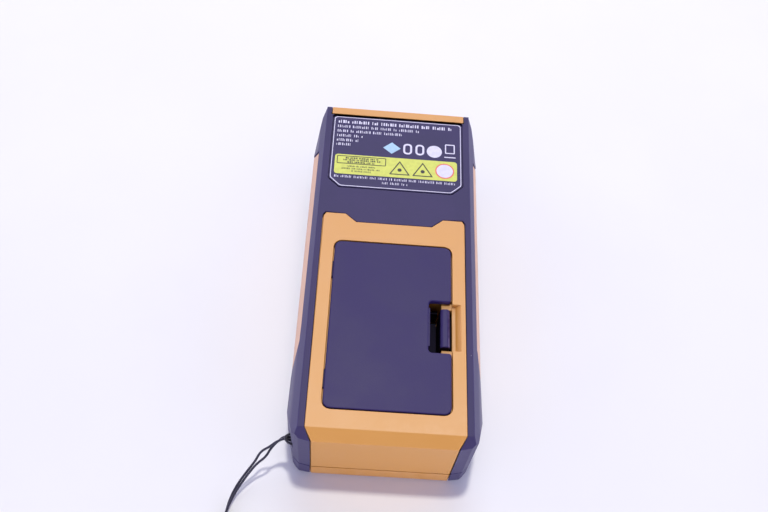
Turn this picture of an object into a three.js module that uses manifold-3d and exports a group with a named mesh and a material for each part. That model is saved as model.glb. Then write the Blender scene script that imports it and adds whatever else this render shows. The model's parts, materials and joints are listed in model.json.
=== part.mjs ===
// Laser distance meter with its wrist strap, as an assembly of separate pieces.
//
// Millimetres. The meter lies on its front face: +Z points out of the back cover, +Y towards the
// laser end and +X to the right of someone who reads the rating label. The origin is the middle of
// the meter's footprint on the surface that it lies on.
import * as THREE from 'three';
import { mergeVertices } from 'three/addons/utils/BufferGeometryUtils.js';
import Module from 'manifold-3d';

const wasm = await Module();
wasm.setup();

// ---------------------------------------------------------------- driving dimensions

const LENGTH = 108; // rear end to laser end
const WIDTH = 50.4; // across the bumpers
const HEIGHT = 26; // front face to back face
const GAP = 0.3; // clearance between pieces that meet

const REAR = -LENGTH / 2;
const NOSE = LENGTH / 2;
const BACK = HEIGHT;

// Faceted envelope that all the outer pieces share
const FACET_1_RUN = 1.55; // lower facet, from the widest place inwards
const FACET_1_DROP = 7; // its lower edge, below the back face
const FACET_2_RUN = 1.7; // upper facet, on to the flat back
const FACET_2_DROP = 2.9;
const FRONT_FACET_RUN = 2.6; // the same edge on the front side
const FRONT_FACET_RISE = 6;
const END_CHAMFER_RUN = 3.3; // chamfer above the rear end face
const END_CHAMFER_DROP = 1.6;
const FOOT_CHAMFER = 0.7; // small edge around the front face at both ends
const CORNER_REACH = 6.9; // end face's edge, in from the widest place

// Housing walls
const SKIN = 1.4; // black soft overmould
const WALL = 1.6; // orange shells
const PARTING = 6; // height of the seam between the two halves
const SHELL_INSET = SKIN + GAP;
const CAVITY_INSET = SHELL_INSET + WALL;

// Orange frame around the battery door
const FRAME_HALF = 20.15;
const FRAME_EAR_TOP = 67.7; // from the rear end
const FRAME_WAIST_TOP = 65.05;
const FRAME_EAR_INNER = 14;
const FRAME_WAIST_HALF = 10.8;
const FRAME_END_HALF = 18.2; // half width of the orange end face

// Orange band at the laser end
const BAND_HALF = 20.35;
const BAND_WIDTH = 2.9;

// Battery door, latch and their seats
const DOOR_WIDTH = 32.6;
const DOOR_LENGTH = 49.8;
const DOOR_FROM_REAR = 8.55;
const DOOR_THICK = 1.6;
const DOOR_CORNER = 2;
const TONGUE_WIDTH = 5;
const TONGUE_REACH = 1.3;
const TONGUE_THICK = 1.2;
const TONGUE_FROM_END = 8.5; // middle of each tongue, in from the door's end
const LEDGE_TOP = BACK - DOOR_THICK - GAP;
const LATCH_FROM_REAR = 33.3; // middle of the latch
const LATCH_LENGTH = 11.4;
const LATCH_WIDTH = 2.6;
const LATCH_TOP_DROP = 0.5;
const LATCH_DEPTH = 10.6; // back face to the bottom of the latch's leg
const LATCH_BOTTOM = BACK - LATCH_DEPTH;
const LATCH_LEG = 1;
const LATCH_TOOTH_REACH = 0.5; // under the frame
const LATCH_PAD_EDGE = 0.6;
const LATCH_NOTCH_LENGTH = 15.4;
const LATCH_NOTCH_DEPTH = 6.1;
const FINGER_RECESS_LENGTH = 13.9;
const FINGER_RECESS_WIDTH = 2.6;
const FINGER_RECESS_DEPTH = 1.7;
const FINGER_RECESS_SLOPE = 1.3;
const WELL_ROOM = 1.2; // well in the shell, past both ends of the notch
const WELL_FLOOR_ROOM = 0.6;
const WELL_UNDERCUT = 0.9; // how far the well reaches under the frame for the tooth

// Batteries, two AAA cells side by side
const CELL_DIAMETER = 10.4;
const CELL_LENGTH = 44.4;
const CELL_APART = 0.5; // between the two cells
const CELL_PITCH = CELL_DIAMETER + CELL_APART;
const CELL_BUTTON_DIAMETER = 3.8;
const CELL_BUTTON_LENGTH = 0.9;
const BAY_SIDE_ROOM = 0.35;
const BAY_END_ROOM = 4.4;
const PAD_THICK = 1.7; // foam that holds the cells down
const BAY_FLOOR_TOP = LEDGE_TOP - PAD_THICK - CELL_DIAMETER - 2 * GAP;
const BAY_WALL = 1.2;
const BAY_CENTRE_X = -3.2;
const CONTACT_THICK = 0.3;
const CONTACT_HALF = 4.2;
const SPRING_WIRE = 0.6;
const SPRING_TURNS = 3;
const SPRING_WIDE = 3.4; // radius at the contact plate
const SPRING_NARROW = 1.7; // radius at the cell

// Rating label
const LABEL_HALF = 19.75;
const LABEL_LENGTH = 27;
const LABEL_FROM_NOSE = 3.7;
const LABEL_CORNER_X = 3.2;
const LABEL_CORNER_Y = 3;
const LABEL_THICK = 0.25;
const LABEL_POCKET = 0.55;
const LABEL_SUNK = 0.1;

// Side strips
const STRIP_FROM_REAR = 19.4;
const STRIP_FROM_NOSE = 15.1;
const STRIP_SLANT = 9;
const STRIP_SUNK = 0.2;
const STRIP_LOW = 8.5;
const STRIP_CORNER = 3;
const STRIP_SLOT_DEPTH = 5.2; // from the widest place

// Front face
const RIM_PROUD = 0.3; // overmould stands this far out of the shell
const BEZEL_HALF = 18.2;
const BEZEL_THICK = 1.3;
const BEZEL_FROM_REAR = 6;
const BEZEL_FROM_NOSE = 5;
const BEZEL_FACE = 0.4;
const BEZEL_CORNER = 3;
const FRONT_OPENING_HALF = 14.5;
const DISPLAY_WIDTH = 27.4;
const DISPLAY_LENGTH = 35;
const DISPLAY_FROM_NOSE = 10;
const DISPLAY_FACE = 0.55;
const DISPLAY_CORNER = 1.5;
const LCD_THICK = 2.5;
const KEY_FACE = 0.5;
const KEY_TRAVEL = 0.8;
const KEY_FLANGE = 0.6;
const KEY_FLANGE_THICK = 0.8;
const MAT_THICK = 0.7;
const MAT_HALF = 13.9;
const BOARD_THICK = 1.2;
const BOARD_HALF = 13.7;
const BOARD_SCREW_X = 11;
const BOARD_POST_HALF = 2;
const BOARD_POST_REACH = 4; // past the battery bay

// Optics at the laser end
const NOSE_PLATE_HALF = 16.7;
const NOSE_PLATE_MARGIN = 4.3; // below it to the front face and above it to the back face
const NOSE_PLATE_LOW = NOSE_PLATE_MARGIN;
const NOSE_PLATE_HIGH = BACK - NOSE_PLATE_MARGIN;
const NOSE_PLATE_THICK = 1.3;
const NOSE_PLATE_RIM = 1.3; // its edge rests on the shell
const AXIS_Z = HEIGHT / 2; // height of both optical axes
const LASER_X = -10.5;
const RECEIVER_X = 3.5;
const RECEIVER_RADIUS = 7;
const BARREL_RADIUS = 3;
const BARREL_WALL = 0.8;
const CHASSIS_LENGTH = 15.5;
const CHASSIS_LEFT = -16;
const CHASSIS_RIGHT = 13.2;
const DIODE_FLANGE = 2.8; // radius
const DIODE_CAN = 2.2; // radius of the laser's can and of the photodiode's
const OPTICS_SEAT = 2; // depth of the rear bores that hold the diodes

// Screws
const SCREW_RADIUS = 1;
const SCREW_HEAD_RADIUS = 1.7;
const SCREW_X = 16.4;
const BOSS_RADIUS = 2.4;
const SCREW_REACH = 9; // past the seam
const BOSS_ROOF = 4; // solid top of a boss, above its hole
const BOARD_SCREW_RADIUS = 0.8;
const BOARD_SCREW_HEAD = 1.5;

// Wrist strap
const STRING = 0.65;
const WRIST_CORD = 2.5;
const PIN_RADIUS = 0.45;
const PIN_BEHIND_SKIN = 1.95; // its middle, in from the overmould's inner face at the widest place
const PIN_X = -(WIDTH / 2 - SKIN - PIN_BEHIND_SKIN);
const PIN_Y = REAR + 4.2;
const PIN_Z = 14;
const PIN_SEAT = 1.2; // how far each end of the pin goes into the shell
const EYELET_WIDTH = 3.6;
const EYELET_HEIGHT = 3.6;
const EYELET_WALL = 1.5;
const FERRULE_LENGTH = 8;
const FERRULE_RADIUS = 2.9;
const COIL_RADIUS = 14; // middle of the wrist loop's turns
const COIL_LIFT = 0.4; // thickness of the tie under the coil

// ---------------------------------------------------------------- materials

const finish = (color, roughness, metalness = 0) =>
  new THREE.MeshStandardMaterial({ color, roughness, metalness });
const orange = finish(0xe8953f, 0.5);
const blackSoft = finish(0x2c2836, 0.75);
const blackHard = finish(0x26232e, 0.45);
const blackGloss = finish(0x121216, 0.15);
const clear = finish(0xc8d4dc, 0.05);
const lensGlass = finish(0x8a3a44, 0.05);
const steel = finish(0xb9bcc2, 0.3, 1);
const brass = finish(0xc9a24e, 0.3, 1);
const castMetal = finish(0x8d9096, 0.5, 0.9);
const boardGreen = finish(0x1f5a3a, 0.5);
const silicone = finish(0x8f8f94, 0.8);
const foam = finish(0x1a1a1c, 0.95);
const labelFilm = finish(0x2a2634, 0.35);
const cellWrap = finish(0x2f6f4f, 0.3, 0.6);
const keyGrey = finish(0x4a4a52, 0.7);
const keyOrange = finish(0xe07a1f, 0.6);
const nylon = finish(0x1b1924, 0.8);

// ---------------------------------------------------------------- shape helpers

const X = new THREE.Vector3(1, 0, 0);
const Y = new THREE.Vector3(0, 1, 0);
const Z = new THREE.Vector3(0, 0, 1);

function toSolid(geometry) {
  const bare = geometry.clone();
  bare.deleteAttribute('normal');
  bare.deleteAttribute('uv');
  const merged = mergeVertices(bare, 1e-4);
  const vertProperties = new Float32Array(merged.attributes.position.array);
  const triVerts = new Uint32Array(merged.index.array);
  return new wasm.Manifold(new wasm.Mesh({ numProp: 3, vertProperties, triVerts }));
}

function toGeometry(solid) {
  const mesh = solid.getMesh();
  const geometry = new THREE.BufferGeometry();
  geometry.setAttribute('position', new THREE.BufferAttribute(new Float32Array(mesh.vertProperties), 3));
  geometry.setIndex(new THREE.BufferAttribute(new Uint32Array(mesh.triVerts), 1));
  geometry.computeVertexNormals();
  return geometry;
}

const union = (...solids) => solids.reduce((sum, solid) => sum.add(solid));
const outlineShape = (outline) => (outline instanceof THREE.Shape ? outline : new THREE.Shape(outline));

// Extrusions of an outline along each axis. An outline is a Shape or a list of Vector2.
function alongZ(outline, low, high, curveSegments = 2) {
  const geometry = new THREE.ExtrudeGeometry(outlineShape(outline), {
    depth: high - low,
    bevelEnabled: false,
    curveSegments,
  });
  return geometry.translate(0, 0, low);
}

function alongY(outline, low, high, curveSegments = 2) {
  const turn = new THREE.Matrix4().makeBasis(X, Z, Y.clone().negate());
  return alongZ(outline, 0, high - low, curveSegments).applyMatrix4(turn).translate(0, high, 0);
}

function alongX(outline, low, high, curveSegments = 2) {
  const turn = new THREE.Matrix4().makeBasis(Y, Z, X);
  return alongZ(outline, 0, high - low, curveSegments).applyMatrix4(turn).translate(low, 0, 0);
}

function block(x0, x1, y0, y1, z0, z1) {
  const box = new THREE.BoxGeometry(x1 - x0, y1 - y0, z1 - z0);
  return box.translate((x0 + x1) / 2, (y0 + y1) / 2, (z0 + z1) / 2);
}

function rod(radius, from, to, segments = 24) {
  const axis = new THREE.Vector3().subVectors(to, from);
  const turn = new THREE.Quaternion().setFromUnitVectors(Y, axis.clone().normalize());
  const middle = new THREE.Vector3().addVectors(from, to).multiplyScalar(0.5);
  const geometry = new THREE.CylinderGeometry(radius, radius, axis.length(), segments);
  return geometry.applyQuaternion(turn).translate(middle.x, middle.y, middle.z);
}

const rodY = (radius, x, z, y0, y1, segments) =>
  rod(radius, new THREE.Vector3(x, y0, z), new THREE.Vector3(x, y1, z), segments);
const rodZ = (radius, x, y, z0, z1, segments) =>
  rod(radius, new THREE.Vector3(x, y, z0), new THREE.Vector3(x, y, z1), segments);

// A body of revolution around a line through (x, z) along +Y. The profile is [radius, y] pairs.
function turnedY(profile, x, z, segments = 32) {
  const points = profile.map(([radius, y]) => new THREE.Vector2(radius, y));
  return new THREE.LatheGeometry(points, segments).translate(x, 0, z);
}

function roundedBox(x0, x1, y0, y1, radius) {
  const shape = new THREE.Shape();
  shape.moveTo(x0 + radius, y0);
  shape.absarc(x1 - radius, y0 + radius, radius, -Math.PI / 2, 0);
  shape.absarc(x1 - radius, y1 - radius, radius, 0, Math.PI / 2);
  shape.absarc(x0 + radius, y1 - radius, radius, Math.PI / 2, Math.PI);
  shape.absarc(x0 + radius, y0 + radius, radius, Math.PI, 1.5 * Math.PI);
  shape.closePath();
  return shape;
}

// The right half of an outline, bottom to top, with its mirror image on the left.
function mirrored(rightHalf) {
  const right = rightHalf.map(([x, y]) => new THREE.Vector2(x, y));
  const left = rightHalf.map(([x, y]) => new THREE.Vector2(-x, y)).reverse();
  return [...right, ...left];
}

// A convex counter-clockwise outline with every edge moved inwards by a distance.
function inset(outline, distance) {
  const reach = 4 * LENGTH;
  let kept = [[-1, -1], [1, -1], [1, 1], [-1, 1]].map(([x, y]) => new THREE.Vector2(x * reach, y * reach));
  outline.forEach((start, index) => {
    const end = outline[(index + 1) % outline.length];
    const inward = new THREE.Vector2(start.y - end.y, end.x - start.x).normalize();
    const depth = (point) => inward.dot(point) - inward.dot(start) - distance;
    const next = [];
    kept.forEach((point, i) => {
      const following = kept[(i + 1) % kept.length];
      const here = depth(point);
      const there = depth(following);
      if (here >= 0) next.push(point);
      const crossing = here / (here - there);
      if (here * there < 0) next.push(new THREE.Vector2().lerpVectors(point, following, crossing));
    });
    kept = next;
  });
  return kept;
}

// ---------------------------------------------------------------- envelope

const sectionOutline = mirrored([
  [WIDTH / 2 - FRONT_FACET_RUN, 0],
  [WIDTH / 2 - FRONT_FACET_RUN * 0.35, FRONT_FACET_RISE * 0.4],
  [WIDTH / 2, FRONT_FACET_RISE],
  [WIDTH / 2, BACK - FACET_1_DROP],
  [WIDTH / 2 - FACET_1_RUN, BACK - FACET_2_DROP],
  [WIDTH / 2 - FACET_1_RUN - FACET_2_RUN, BACK],
]);

const planOutline = mirrored([
  [WIDTH / 2 - CORNER_REACH, REAR],
  [WIDTH / 2 - 3.6, REAR + 0.7],
  [WIDTH / 2 - 1.8, REAR + 2.5],
  [WIDTH / 2 - 1, REAR + 5.6],
  [WIDTH / 2, REAR + 9.4],
  [WIDTH / 2, NOSE - 16.1],
  [WIDTH / 2 - 1.9, NOSE - 3.1],
  [WIDTH / 2 - 3.4, NOSE],
]);

const sideOutline = [
  [REAR + FOOT_CHAMFER, 0],
  [NOSE - FOOT_CHAMFER, 0],
  [NOSE, FOOT_CHAMFER],
  [NOSE, BACK - 0.6],
  [NOSE - 0.4, BACK],
  [REAR + END_CHAMFER_RUN, BACK],
  [REAR, BACK - END_CHAMFER_DROP],
  [REAR, FOOT_CHAMFER],
].map(([y, z]) => new THREE.Vector2(y, z));

function envelope(depth, low = -1, high = BACK + 1) {
  const section = toSolid(alongY(inset(sectionOutline, depth), REAR - 1, NOSE + 1));
  const plan = toSolid(alongZ(inset(planOutline, depth), low, high));
  const side = toSolid(alongX(inset(sideOutline, depth), -WIDTH, WIDTH));
  return section.intersect(plan).intersect(side);
}

const slab = (low, high) => toSolid(block(-WIDTH, WIDTH, -LENGTH, LENGTH, low, high));
const aboveSeam = (solid) => solid.subtract(slab(-5, PARTING + GAP / 2));
const belowSeam = (solid) => solid.subtract(slab(PARTING - GAP / 2, BACK + 5));

// Orange areas seen from the back, grown by a clearance where the overmould is cut around them
const frameOutline = (room) =>
  mirrored([
    [FRAME_END_HALF + room, REAR - 1],
    [FRAME_END_HALF + room, REAR],
    [FRAME_HALF + room, REAR + END_CHAMFER_RUN],
    [FRAME_HALF + room, REAR + FRAME_EAR_TOP - 1.1 + room],
    [FRAME_HALF - 0.65 + room, REAR + FRAME_EAR_TOP + room],
    [FRAME_EAR_INNER - room / 2, REAR + FRAME_EAR_TOP + room],
    [FRAME_WAIST_HALF - room / 2, REAR + FRAME_WAIST_TOP + room],
  ]);
const bandOutline = (room) =>
  mirrored([
    [BAND_HALF + room, NOSE - BAND_WIDTH - room],
    [BAND_HALF + room, NOSE + 1],
  ]);
const frontFrameOutline = (room) =>
  mirrored([
    [FRAME_END_HALF + room, REAR - 1],
    [FRAME_END_HALF + room, REAR],
    [FRAME_HALF + room, REAR + END_CHAMFER_RUN],
    [FRAME_HALF + room, NOSE + 1],
  ]);

// ---------------------------------------------------------------- places worked out from the sizes

const doorY0 = REAR + DOOR_FROM_REAR;
const doorY1 = doorY0 + DOOR_LENGTH;
const doorX0 = -DOOR_WIDTH / 2;
const doorX1 = DOOR_WIDTH / 2;
const bayX0 = BAY_CENTRE_X - (CELL_PITCH + CELL_DIAMETER) / 2 - BAY_SIDE_ROOM;
const bayX1 = BAY_CENTRE_X + (CELL_PITCH + CELL_DIAMETER) / 2 + BAY_SIDE_ROOM;
const bayY0 = (doorY0 + doorY1 - CELL_LENGTH - BAY_END_ROOM) / 2;
const bayY1 = bayY0 + CELL_LENGTH + BAY_END_ROOM;
const cellX = [BAY_CENTRE_X - CELL_PITCH / 2, BAY_CENTRE_X + CELL_PITCH / 2];
const cellZ = BAY_FLOOR_TOP + GAP + CELL_DIAMETER / 2;
const latchY = REAR + LATCH_FROM_REAR;
const latchX1 = doorX1 - GAP;
const latchX0 = latchX1 - LATCH_WIDTH;
const notchX0 = doorX1 - LATCH_NOTCH_DEPTH;
const wellX0 = bayX1 + BAY_WALL + GAP;
const wellX1 = doorX1 + GAP + WELL_UNDERCUT;
const wellY0 = latchY - LATCH_NOTCH_LENGTH / 2 - WELL_ROOM;
const wellY1 = latchY + LATCH_NOTCH_LENGTH / 2 + WELL_ROOM;
const wellFloor = LATCH_BOTTOM - WELL_FLOOR_ROOM;
const tongueY = [doorY0 + TONGUE_FROM_END, doorY1 - TONGUE_FROM_END];
const bezelTop = BEZEL_FACE + BEZEL_THICK;
const flangeTop = bezelTop + GAP + KEY_FLANGE_THICK;
const matBottom = flangeTop + KEY_TRAVEL + GAP;
const boardBottom = matBottom + MAT_THICK + GAP;
const boardTop = boardBottom + BOARD_THICK;
const cavityTop = BACK - CAVITY_INSET;
const nosePlateFront = NOSE - 0.2;
const nosePlateBack = nosePlateFront - NOSE_PLATE_THICK;
const chassisY1 = NOSE - CAVITY_INSET - 0.7;
const chassisY0 = chassisY1 - CHASSIS_LENGTH;
const bossY = [REAR + 7.4, bayY1 + BAY_WALL + BOSS_RADIUS + GAP];
const boardScrewY = bayY1 + BOARD_POST_REACH / 2;
const labelY1 = NOSE - LABEL_FROM_NOSE;
const labelY0 = labelY1 - LABEL_LENGTH;
const displayY1 = NOSE - DISPLAY_FROM_NOSE;
const displayY0 = displayY1 - DISPLAY_LENGTH;

// ---------------------------------------------------------------- the assembly

const meter = new THREE.Group();

function add(name, geometryOrSolid, material) {
  const geometry = geometryOrSolid.isBufferGeometry ? geometryOrSolid : toGeometry(geometryOrSolid);
  const mesh = new THREE.Mesh(geometry, material);
  mesh.name = name;
  meter.add(mesh);
}

// ---------------------------------------------------------------- strap eyelet in the left rear corner

function eyeletCut() {
  const halfWidth = EYELET_WIDTH / 2;
  const slot = new THREE.Shape();
  slot.moveTo(-WIDTH, PIN_Y - halfWidth);
  slot.lineTo(PIN_X, PIN_Y - halfWidth);
  slot.absarc(PIN_X, PIN_Y, halfWidth, -Math.PI / 2, Math.PI / 2);
  slot.lineTo(-WIDTH, PIN_Y + halfWidth);
  return toSolid(alongZ(slot, PIN_Z - EYELET_HEIGHT / 2, PIN_Z + EYELET_HEIGHT / 2));
}

const pinLow = PIN_Z - EYELET_HEIGHT / 2 - PIN_SEAT;
const pinHigh = PIN_Z + EYELET_HEIGHT / 2 + PIN_SEAT;
add('strap_pin', rodZ(PIN_RADIUS, PIN_X, PIN_Y, pinLow, pinHigh, 16), steel);

// ---------------------------------------------------------------- rear shell, orange

function doorSeat() {
  const opening = roundedBox(
    doorX0 - GAP,
    doorX1 + GAP,
    doorY0 - GAP,
    doorY1 + GAP,
    DOOR_CORNER + GAP,
  );
  const recess = toSolid(alongZ(opening, LEDGE_TOP, BACK + 2));
  const fingerX0 = doorX1;
  const fingerX1 = doorX1 + FINGER_RECESS_WIDTH;
  const finger = [
    [fingerX0, BACK + 1],
    [fingerX0, BACK - FINGER_RECESS_DEPTH],
    [fingerX1 - FINGER_RECESS_SLOPE, BACK - FINGER_RECESS_DEPTH],
    [fingerX1, BACK],
    [fingerX1, BACK + 1],
  ].map(([x, z]) => new THREE.Vector2(x, z));
  const half = FINGER_RECESS_LENGTH / 2;
  return recess.add(toSolid(alongY(finger, latchY - half, latchY + half)));
}

function tonguePockets() {
  const pockets = tongueY.map((y) =>
    toSolid(
      block(
        doorX0 - TONGUE_REACH - 2 * GAP,
        bayX0 + 0.1,
        y - TONGUE_WIDTH / 2 - GAP,
        y + TONGUE_WIDTH / 2 + GAP,
        cavityTop - 1.4,
        BACK - DOOR_THICK + GAP,
      ),
    ),
  );
  return union(...pockets);
}

function rearShell() {
  const cavity = envelope(CAVITY_INSET);
  const base = envelope(SHELL_INSET);
  const proud = envelope(0);
  const frame = proud.intersect(toSolid(alongZ(frameOutline(0), -1, BACK + 1)));
  const band = proud.intersect(toSolid(alongZ(bandOutline(0), -1, BACK + 1)));
  const joinedTop = cavityTop + 0.5; // tubs and bosses run this far into the back wall
  const bayTub = toSolid(
    block(
      bayX0 - BAY_WALL,
      bayX1 + BAY_WALL,
      bayY0 - BAY_WALL,
      bayY1 + BAY_WALL,
      BAY_FLOOR_TOP - BAY_WALL,
      joinedTop,
    ),
  );
  const wellTub = toSolid(
    block(
      bayX1 + BAY_WALL / 2,
      wellX1 + BAY_WALL,
      wellY0 - BAY_WALL,
      wellY1 + BAY_WALL,
      wellFloor - BAY_WALL,
      joinedTop,
    ),
  );
  const bosses = [];
  const bossHoles = [];
  for (const x of [-SCREW_X, SCREW_X]) {
    for (const y of bossY) {
      bosses.push(toSolid(rodZ(BOSS_RADIUS, x, y, PARTING + 0.5, joinedTop, 20)));
      bossHoles.push(toSolid(rodZ(SCREW_RADIUS + GAP, x, y, 0, cavityTop - BOSS_ROOF, 16)));
    }
  }
  // Each board post grows out of the nose wall of the battery bay
  const leftPostInner = Math.max(BOARD_POST_HALF - BOARD_SCREW_X, bayX0 + BAY_WALL);
  const rightPostInner = Math.min(BOARD_SCREW_X - BOARD_POST_HALF, bayX1);
  const postOuter = BOARD_SCREW_X + BOARD_POST_HALF;
  const boardPosts = [
    [-postOuter, leftPostInner],
    [rightPostInner, postOuter],
  ].map(([x0, x1]) =>
    toSolid(block(x0, x1, bayY1 + GAP, bayY1 + BOARD_POST_REACH, boardTop + GAP, BAY_FLOOR_TOP)),
  );
  const boardPostHoles = [-1, 1].map((side) =>
    toSolid(
      rodZ(BOARD_SCREW_RADIUS + GAP, side * BOARD_SCREW_X, boardScrewY, 0, BAY_FLOOR_TOP - BAY_WALL, 16),
    ),
  );
  const eyeletBlock = envelope(SHELL_INSET).intersect(
    toSolid(
      block(
        -WIDTH,
        PIN_X + EYELET_WIDTH / 2 + EYELET_WALL,
        REAR,
        PIN_Y + EYELET_WIDTH / 2 + EYELET_WALL,
        pinLow - EYELET_WALL,
        pinHigh + EYELET_WALL,
      ),
    ),
  );

  const bayPocket = toSolid(block(bayX0, bayX1, bayY0, bayY1, BAY_FLOOR_TOP, BACK + 1));
  const wellPocket = union(
    toSolid(block(wellX0, doorX1 + GAP, wellY0, wellY1, wellFloor, BACK + 1)),
    toSolid(block(doorX1, wellX1, wellY0, wellY1, wellFloor, cavityTop)),
  );
  const nosePocket = toSolid(
    block(
      -NOSE_PLATE_HALF - GAP,
      NOSE_PLATE_HALF + GAP,
      nosePlateBack - GAP,
      NOSE + 2,
      NOSE_PLATE_LOW - GAP,
      NOSE_PLATE_HIGH + GAP,
    ),
  );
  const windowHalf = NOSE_PLATE_HALF - NOSE_PLATE_RIM;
  const noseWindow = toSolid(
    block(
      -windowHalf,
      windowHalf,
      NOSE - CAVITY_INSET - 1,
      NOSE,
      NOSE_PLATE_LOW + NOSE_PLATE_RIM,
      NOSE_PLATE_HIGH - NOSE_PLATE_RIM,
    ),
  );
  const pinHole = toSolid(rodZ(PIN_RADIUS + GAP, PIN_X, PIN_Y, pinLow - GAP, pinHigh + GAP, 16));

  const hollow = base.add(frame).add(band).subtract(cavity);
  const fitted = union(hollow, bayTub, wellTub, eyeletBlock, ...bosses, ...boardPosts);
  return aboveSeam(
    fitted
      .subtract(bayPocket)
      .subtract(wellPocket)
      .subtract(doorSeat())
      .subtract(tonguePockets())
      .subtract(nosePocket)
      .subtract(noseWindow)
      .subtract(eyeletCut())
      .subtract(pinHole)
      .subtract(union(...bossHoles, ...boardPostHoles)),
  );
}
add('rear_shell', rearShell(), orange);

// ---------------------------------------------------------------- side strips, orange

// Seen from the side, grown by a clearance where the overmould is cut around the strip
const stripTop = BACK - FACET_2_DROP - 0.15;
function stripOutline(room) {
  const rearEnd = REAR + STRIP_FROM_REAR - room;
  const noseEnd = NOSE - STRIP_FROM_NOSE + room;
  const shoulder = BACK - FACET_1_DROP - 1.5;
  return [
    [rearEnd + STRIP_CORNER, STRIP_LOW - room],
    [noseEnd - STRIP_CORNER, STRIP_LOW - room],
    [noseEnd, STRIP_LOW + STRIP_CORNER],
    [noseEnd, shoulder],
    [noseEnd - 1.4, stripTop + room],
    [rearEnd + STRIP_SLANT, stripTop + room],
    [rearEnd, shoulder],
    [rearEnd, STRIP_LOW + STRIP_CORNER],
  ].map(([y, z]) => new THREE.Vector2(y, z));
}
const stripLayer = envelope(STRIP_SUNK).subtract(envelope(SKIN));
const stripRight = stripLayer.intersect(toSolid(alongX(stripOutline(0), 0, WIDTH)));
add('side_strip_right', stripRight, orange);
add('side_strip_left', stripRight.mirror([1, 0, 0]), orange);

// ---------------------------------------------------------------- black overmould, in two halves

const skinLayer = envelope(0).subtract(envelope(SKIN));
const stripSlots = toSolid(alongX(stripOutline(GAP), -WIDTH, WIDTH));
const betweenSlots = WIDTH / 2 - STRIP_SLOT_DEPTH;
const middleBlock = block(-betweenSlots, betweenSlots, -LENGTH, LENGTH, -5, BACK + 5);
const stripSlotsInSkin = stripSlots.subtract(toSolid(middleBlock));

function labelOutline(room) {
  return mirrored([
    [LABEL_HALF - LABEL_CORNER_X + room / 2, labelY0 - room],
    [LABEL_HALF + room, labelY0 + LABEL_CORNER_Y - room / 2],
    [LABEL_HALF + room, labelY1 - 0.6 + room],
    [LABEL_HALF - 0.6 + room, labelY1 + room],
  ]);
}

function rearGrip() {
  const frameWindow = toSolid(alongZ(frameOutline(GAP), -1, BACK + 1));
  const bandWindow = toSolid(alongZ(bandOutline(GAP), -1, BACK + 1));
  const labelPocket = toSolid(alongZ(labelOutline(GAP), BACK - LABEL_POCKET, BACK + 1));
  return aboveSeam(
    skinLayer
      .subtract(frameWindow)
      .subtract(bandWindow)
      .subtract(labelPocket)
      .subtract(stripSlotsInSkin)
      .subtract(eyeletCut()),
  );
}
add('rear_grip', rearGrip(), blackSoft);

function frontGrip() {
  const window = toSolid(alongZ(frontFrameOutline(GAP), -1, BACK + 1));
  return belowSeam(skinLayer.subtract(window).subtract(stripSlotsInSkin));
}
const [frontGripLeft, frontGripRight] = frontGrip()
  .decompose()
  .sort((a, b) => a.boundingBox().min[0] - b.boundingBox().min[0]);
add('front_grip_left', frontGripLeft, blackSoft);
add('front_grip_right', frontGripRight, blackSoft);

const labelTop = BACK - LABEL_SUNK;
add('rating_label', alongZ(labelOutline(0), labelTop - LABEL_THICK, labelTop), labelFilm);

// ---------------------------------------------------------------- front shell and its face

function frontShell() {
  const raised = envelope(0)
    .intersect(toSolid(alongZ(frontFrameOutline(0), RIM_PROUD, BACK)));
  const bezelPocket = toSolid(
    alongZ(
      roundedBox(
        -BEZEL_HALF - GAP,
        BEZEL_HALF + GAP,
        REAR + BEZEL_FROM_REAR - GAP,
        NOSE - BEZEL_FROM_NOSE + GAP,
        BEZEL_CORNER + GAP,
      ),
      -1,
      bezelTop + GAP,
    ),
  );
  const opening = toSolid(
    block(
      -FRONT_OPENING_HALF,
      FRONT_OPENING_HALF,
      REAR + BEZEL_FROM_REAR + 4,
      NOSE - BEZEL_FROM_NOSE - 2.5,
      -1,
      PARTING,
    ),
  );
  const nosePocket = toSolid(
    block(
      -NOSE_PLATE_HALF - GAP,
      NOSE_PLATE_HALF + GAP,
      nosePlateBack - GAP,
      NOSE + 2,
      NOSE_PLATE_LOW - GAP,
      BACK,
    ),
  );
  const screwSeats = [-SCREW_X, SCREW_X].flatMap((x) =>
    bossY.flatMap((y) => [
      toSolid(rodZ(SCREW_HEAD_RADIUS + GAP, x, y, 0, bezelTop + GAP + 0.9, 24)),
      toSolid(rodZ(SCREW_RADIUS + GAP, x, y, 0, PARTING, 16)),
    ]),
  );
  return belowSeam(
    envelope(SHELL_INSET)
      .add(raised)
      .subtract(envelope(CAVITY_INSET))
      .subtract(bezelPocket)
      .subtract(opening)
      .subtract(nosePocket)
      .subtract(union(...screwSeats)),
  );
}
add('front_shell', frontShell(), orange);

// Keys: name, middle, size, corner radius and material. The round key has its diameter as both sizes.
const ROUND_CORNER = 3; // a corner radius from here up gets finer arcs
const keyRows = [11.55, 25.55, 36.75].map((fromBoardScrews) => boardScrewY - fromBoardScrews);
const keys = [
  ['key_measure', 0, keyRows[0], 13.2, 13.2, 6.55, keyOrange],
  ['key_plus', 10.9, keyRows[0], 4.8, 12, 1.6, keyGrey],
  ['key_minus', -10.9, keyRows[0], 4.8, 12, 1.6, keyGrey],
  ['key_mode', -9.3, keyRows[1], 7.6, 7, 1.6, keyGrey],
  ['key_memory', 0, keyRows[1], 7.6, 7, 1.6, keyGrey],
  ['key_unit', 9.3, keyRows[1], 7.6, 7, 1.6, keyGrey],
  ['key_datum', -9.3, keyRows[2], 7.6, 7, 1.6, keyGrey],
  ['key_timer', 0, keyRows[2], 7.6, 7, 1.6, keyGrey],
  ['key_power', 9.3, keyRows[2], 7.6, 7, 1.6, keyGrey],
];

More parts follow.
